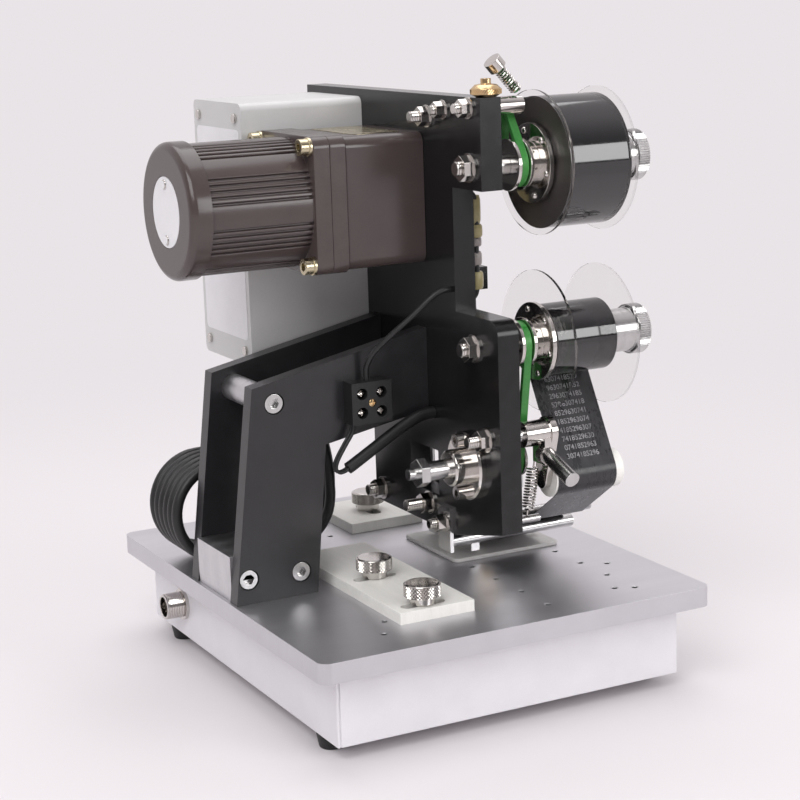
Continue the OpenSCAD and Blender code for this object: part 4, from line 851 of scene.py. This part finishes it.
def barePlate(name, plan):
    low, high, middle = boxOf(plan["on"])
    if plan["face"] == "-x":
        size = (high.y - low.y, high.z - low.z)
        place, axis = (low.x, middle.y, middle.z), (-1, 0, 0)
    else:
        size = (high.x - low.x - plan["flange"], high.y - low.y)
        place, axis = (middle.x + plan["flange"] / 2, middle.y, high.z - plan["sunk"]), (0, 0, 1)
    deselectAll()
    bpy.ops.mesh.primitive_plane_add(size=1)
    piece = bpy.context.object
    piece.name = name
    wide, tall = (s - 2 * m for s, m in zip(size, plan["margin"]))
    piece.scale = (wide / 1000, tall / 1000, 1)
    bpy.ops.object.transform_apply(scale=True)
    bpy.ops.object.mode_set(mode="EDIT")
    bpy.ops.mesh.select_all(action="SELECT")
    bpy.ops.mesh.bevel(offset=plan["corner"] / 1000, segments=5, affect="VERTICES")
    bpy.ops.mesh.select_all(action="SELECT")
    bpy.ops.mesh.extrude_region_move(TRANSFORM_OT_translate={"value": (0, 0, plan["thick"] / 1000)})
    bpy.ops.mesh.select_all(action="SELECT")
    bpy.ops.mesh.normals_make_consistent(inside=False)
    bpy.ops.object.mode_set(mode="OBJECT")
    standAlong(piece, place, axis)
    return dress(piece, "frame", plan["slot"])


for plateName, plan in platePlan.items():
    barePlate(plateName, plan)
print("plates set:", len(platePlan))

# rows of plain numbers left on the used ribbon, between the roller and the lower reel
printPlan = {"rows": 12, "size": 3.9, "spacing": 1.2, "bold": 0.05, "proud": 0.2,
             "foot": (-97.05, 63.02), "head": (-65.52, 119.86), "digits": 10, "stride": 7, "shift": 3}
printLook = {"pale": srgb(164, 163, 166), "deep": srgb(104, 103, 106), "stretch": even(200),
             "fine": even(900), "rough": (0.3, 0.5), "bump": 0.0}


def printedRows(plan):
    middle = boxOf("ribbon_web")[2]
    (footY, footZ), (headY, headZ) = plan["foot"], plan["head"]
    along = Vector((0, headY - footY, headZ - footZ)).normalized()
    across = Vector((1, 0, 0))
    outward = across.cross(along)
    deselectAll()
    bpy.ops.object.text_add()
    piece = bpy.context.object
    piece.name = "usedRows"
    rows = []
    for k in range(plan["rows"]):
        row = [(plan["shift"] * k + plan["stride"] * i) % 10 for i in range(plan["digits"])]
        rows.append("".join(map(str, row)))
    piece.data.body = "\n".join(rows)
    piece.data.align_x = "CENTER"
    piece.data.align_y = "CENTER"
    piece.data.size = plan["size"] / 1000
    piece.data.space_line = plan["spacing"]
    piece.data.offset = plan["bold"] / 1000
    bpy.ops.object.convert(target="MESH")
    piece = bpy.context.object
    onWeb = Vector((middle.x, (footY + headY) / 2, (footZ + headZ) / 2 + deckZ))
    turned = Matrix((across, along, outward)).transposed().to_4x4()
    piece.matrix_world = Matrix.Translation(mm(*(onWeb + outward * plan["proud"]))) @ turned
    bpy.ops.object.transform_apply(location=True, rotation=True, scale=True)
    return dress(piece, "frame", "ribbon_used")


usedRows = printedRows(printPlan)
wear(usedRows, makeFinish("PrintGhost", printLook))
print("rows printed")

# a pale floor that keeps the soft shadow near the machine and runs out into an even background
stagePlan = {
    "half": 6.0, "cuts": 3, "paper": srgb(222, 217, 220), "roughness": 0.9, "specular": 0.1,
    "surround": srgb(233, 228, 231), "near": 0.3, "far": 1.1, "light": (1, 0.985, 0.99, 1),
    "lightStrength": 0.62, "cameraSide": (-0.45, -0.89, 0), "shadeSpan": (-0.2, 0.55), "shade": 0.24,
}


def seenRays(tree):
    # 1 where the camera, a reflection or a clear disc looks straight at this surface
    path = addNode(tree, "ShaderNodeLightPath")
    first = addNode(tree, "ShaderNodeMath", {"operation": "MAXIMUM"})
    second = addNode(tree, "ShaderNodeMath", {"operation": "MAXIMUM"})
    tree.links.new(path.outputs["Is Camera Ray"], first.inputs[0])
    tree.links.new(path.outputs["Is Glossy Ray"], first.inputs[1])
    tree.links.new(first.outputs[0], second.inputs[0])
    tree.links.new(path.outputs["Is Transmission Ray"], second.inputs[1])
    return second.outputs[0]


def makeStage(plan):
    deselectAll()
    bpy.ops.mesh.primitive_plane_add(size=2 * plan["half"], location=(0, 0, 0))
    floor = bpy.context.object
    floor.name = "studioFloor"
    bpy.ops.object.mode_set(mode="EDIT")
    bpy.ops.mesh.subdivide(number_cuts=plan["cuts"])
    bpy.ops.object.mode_set(mode="OBJECT")
    material = bpy.data.materials.new("studioPaper")
    material.use_nodes = True
    tree = material.node_tree
    paper = tree.nodes["Principled BSDF"]
    paper.inputs["Base Color"].default_value = plan["paper"]
    paper.inputs["Roughness"].default_value = plan["roughness"]
    paper.inputs["Specular IOR Level"].default_value = plan["specular"]
    glow = addNode(tree, "ShaderNodeEmission", Color=plan["surround"], Strength=1)
    place = addNode(tree, "ShaderNodeTexCoord")
    reach = addNode(tree, "ShaderNodeVectorMath", {"operation": "LENGTH"})
    fade = addNode(tree, "ShaderNodeMapRange", {"interpolation_type": "SMOOTHSTEP"})
    fade.inputs["From Min"].default_value = plan["near"]
    fade.inputs["From Max"].default_value = plan["far"]
    share = addNode(tree, "ShaderNodeMath", {"operation": "MULTIPLY"})
    mix = addNode(tree, "ShaderNodeMixShader")
    link = tree.links.new
    link(place.outputs["Object"], reach.inputs[0])
    link(reach.outputs["Value"], fade.inputs["Value"])
    link(fade.outputs[0], share.inputs[0])
    link(seenRays(tree), share.inputs[1])
    link(share.outputs[0], mix.inputs["Fac"])
    link(paper.outputs[0], mix.inputs[1])
    link(glow.outputs[0], mix.inputs[2])
    link(mix.outputs[0], tree.nodes["Material Output"].inputs["Surface"])
    wear(floor, material)


def makeSurround(plan):
    world = bpy.data.worlds.new("paleSurround")
    bpy.context.scene.world = world
    world.use_nodes = True
    tree = world.node_tree
    lit = tree.nodes["Background"]
    lit.inputs["Color"].default_value = plan["light"]
    lit.inputs["Strength"].default_value = plan["lightStrength"]
    shown = addNode(tree, "ShaderNodeBackground", Color=plan["surround"])
    mix = addNode(tree, "ShaderNodeMixShader")
    # reflections see a darker room behind the camera, and the pale backdrop elsewhere
    place = addNode(tree, "ShaderNodeTexCoord")
    facing = addNode(tree, "ShaderNodeVectorMath", {"operation": "DOT_PRODUCT"})
    facing.inputs[1].default_value = plan["cameraSide"]
    darker = addNode(tree, "ShaderNodeMapRange", {"interpolation_type": "SMOOTHSTEP"})
    darker.inputs["From Min"].default_value, darker.inputs["From Max"].default_value = plan["shadeSpan"]
    path = addNode(tree, "ShaderNodeLightPath")
    mirrored = addNode(tree, "ShaderNodeMath", {"operation": "MULTIPLY"})
    level = addNode(tree, "ShaderNodeMapRange")
    level.inputs["To Min"].default_value = 1
    level.inputs["To Max"].default_value = plan["shade"]
    link = tree.links.new
    link(place.outputs["Generated"], facing.inputs[0])
    link(facing.outputs["Value"], darker.inputs["Value"])
    link(darker.outputs[0], mirrored.inputs[0])
    link(path.outputs["Is Glossy Ray"], mirrored.inputs[1])
    link(mirrored.outputs[0], level.inputs["Value"])
    link(level.outputs[0], shown.inputs["Strength"])
    link(seenRays(tree), mix.inputs["Fac"])
    link(lit.outputs[0], mix.inputs[1])
    link(shown.outputs[0], mix.inputs[2])
    link(mix.outputs[0], tree.nodes["World Output"].inputs["Surface"])


makeStage(stagePlan)
makeSurround(stagePlan)

lampAim = mm(0, 0, 150)
lampPlan = {
    "keyLamp": {"place": (-1.3, -1.2, 1.7), "size": 1.5, "power": 28},
    "fillLamp": {"place": (0.82, -1.52, 0.62), "size": 0.7, "power": 8},
    "topLamp": {"place": (0.2, 0.5, 2.0), "size": 1.6, "power": 17},
}
for lampName, lamp in lampPlan.items():
    deselectAll()
    bpy.ops.object.light_add(type="AREA", location=lamp["place"])
    light = bpy.context.object
    light.name = lampName
    light.data.size = lamp["size"]
    light.data.energy = lamp["power"]
    light.rotation_euler = (lampAim - Vector(lamp["place"])).to_track_quat("-Z", "Y").to_euler()

bpy.context.scene.view_settings.view_transform = "Standard"
print("stage and lamps set")

bpy.context.view_layer.update()
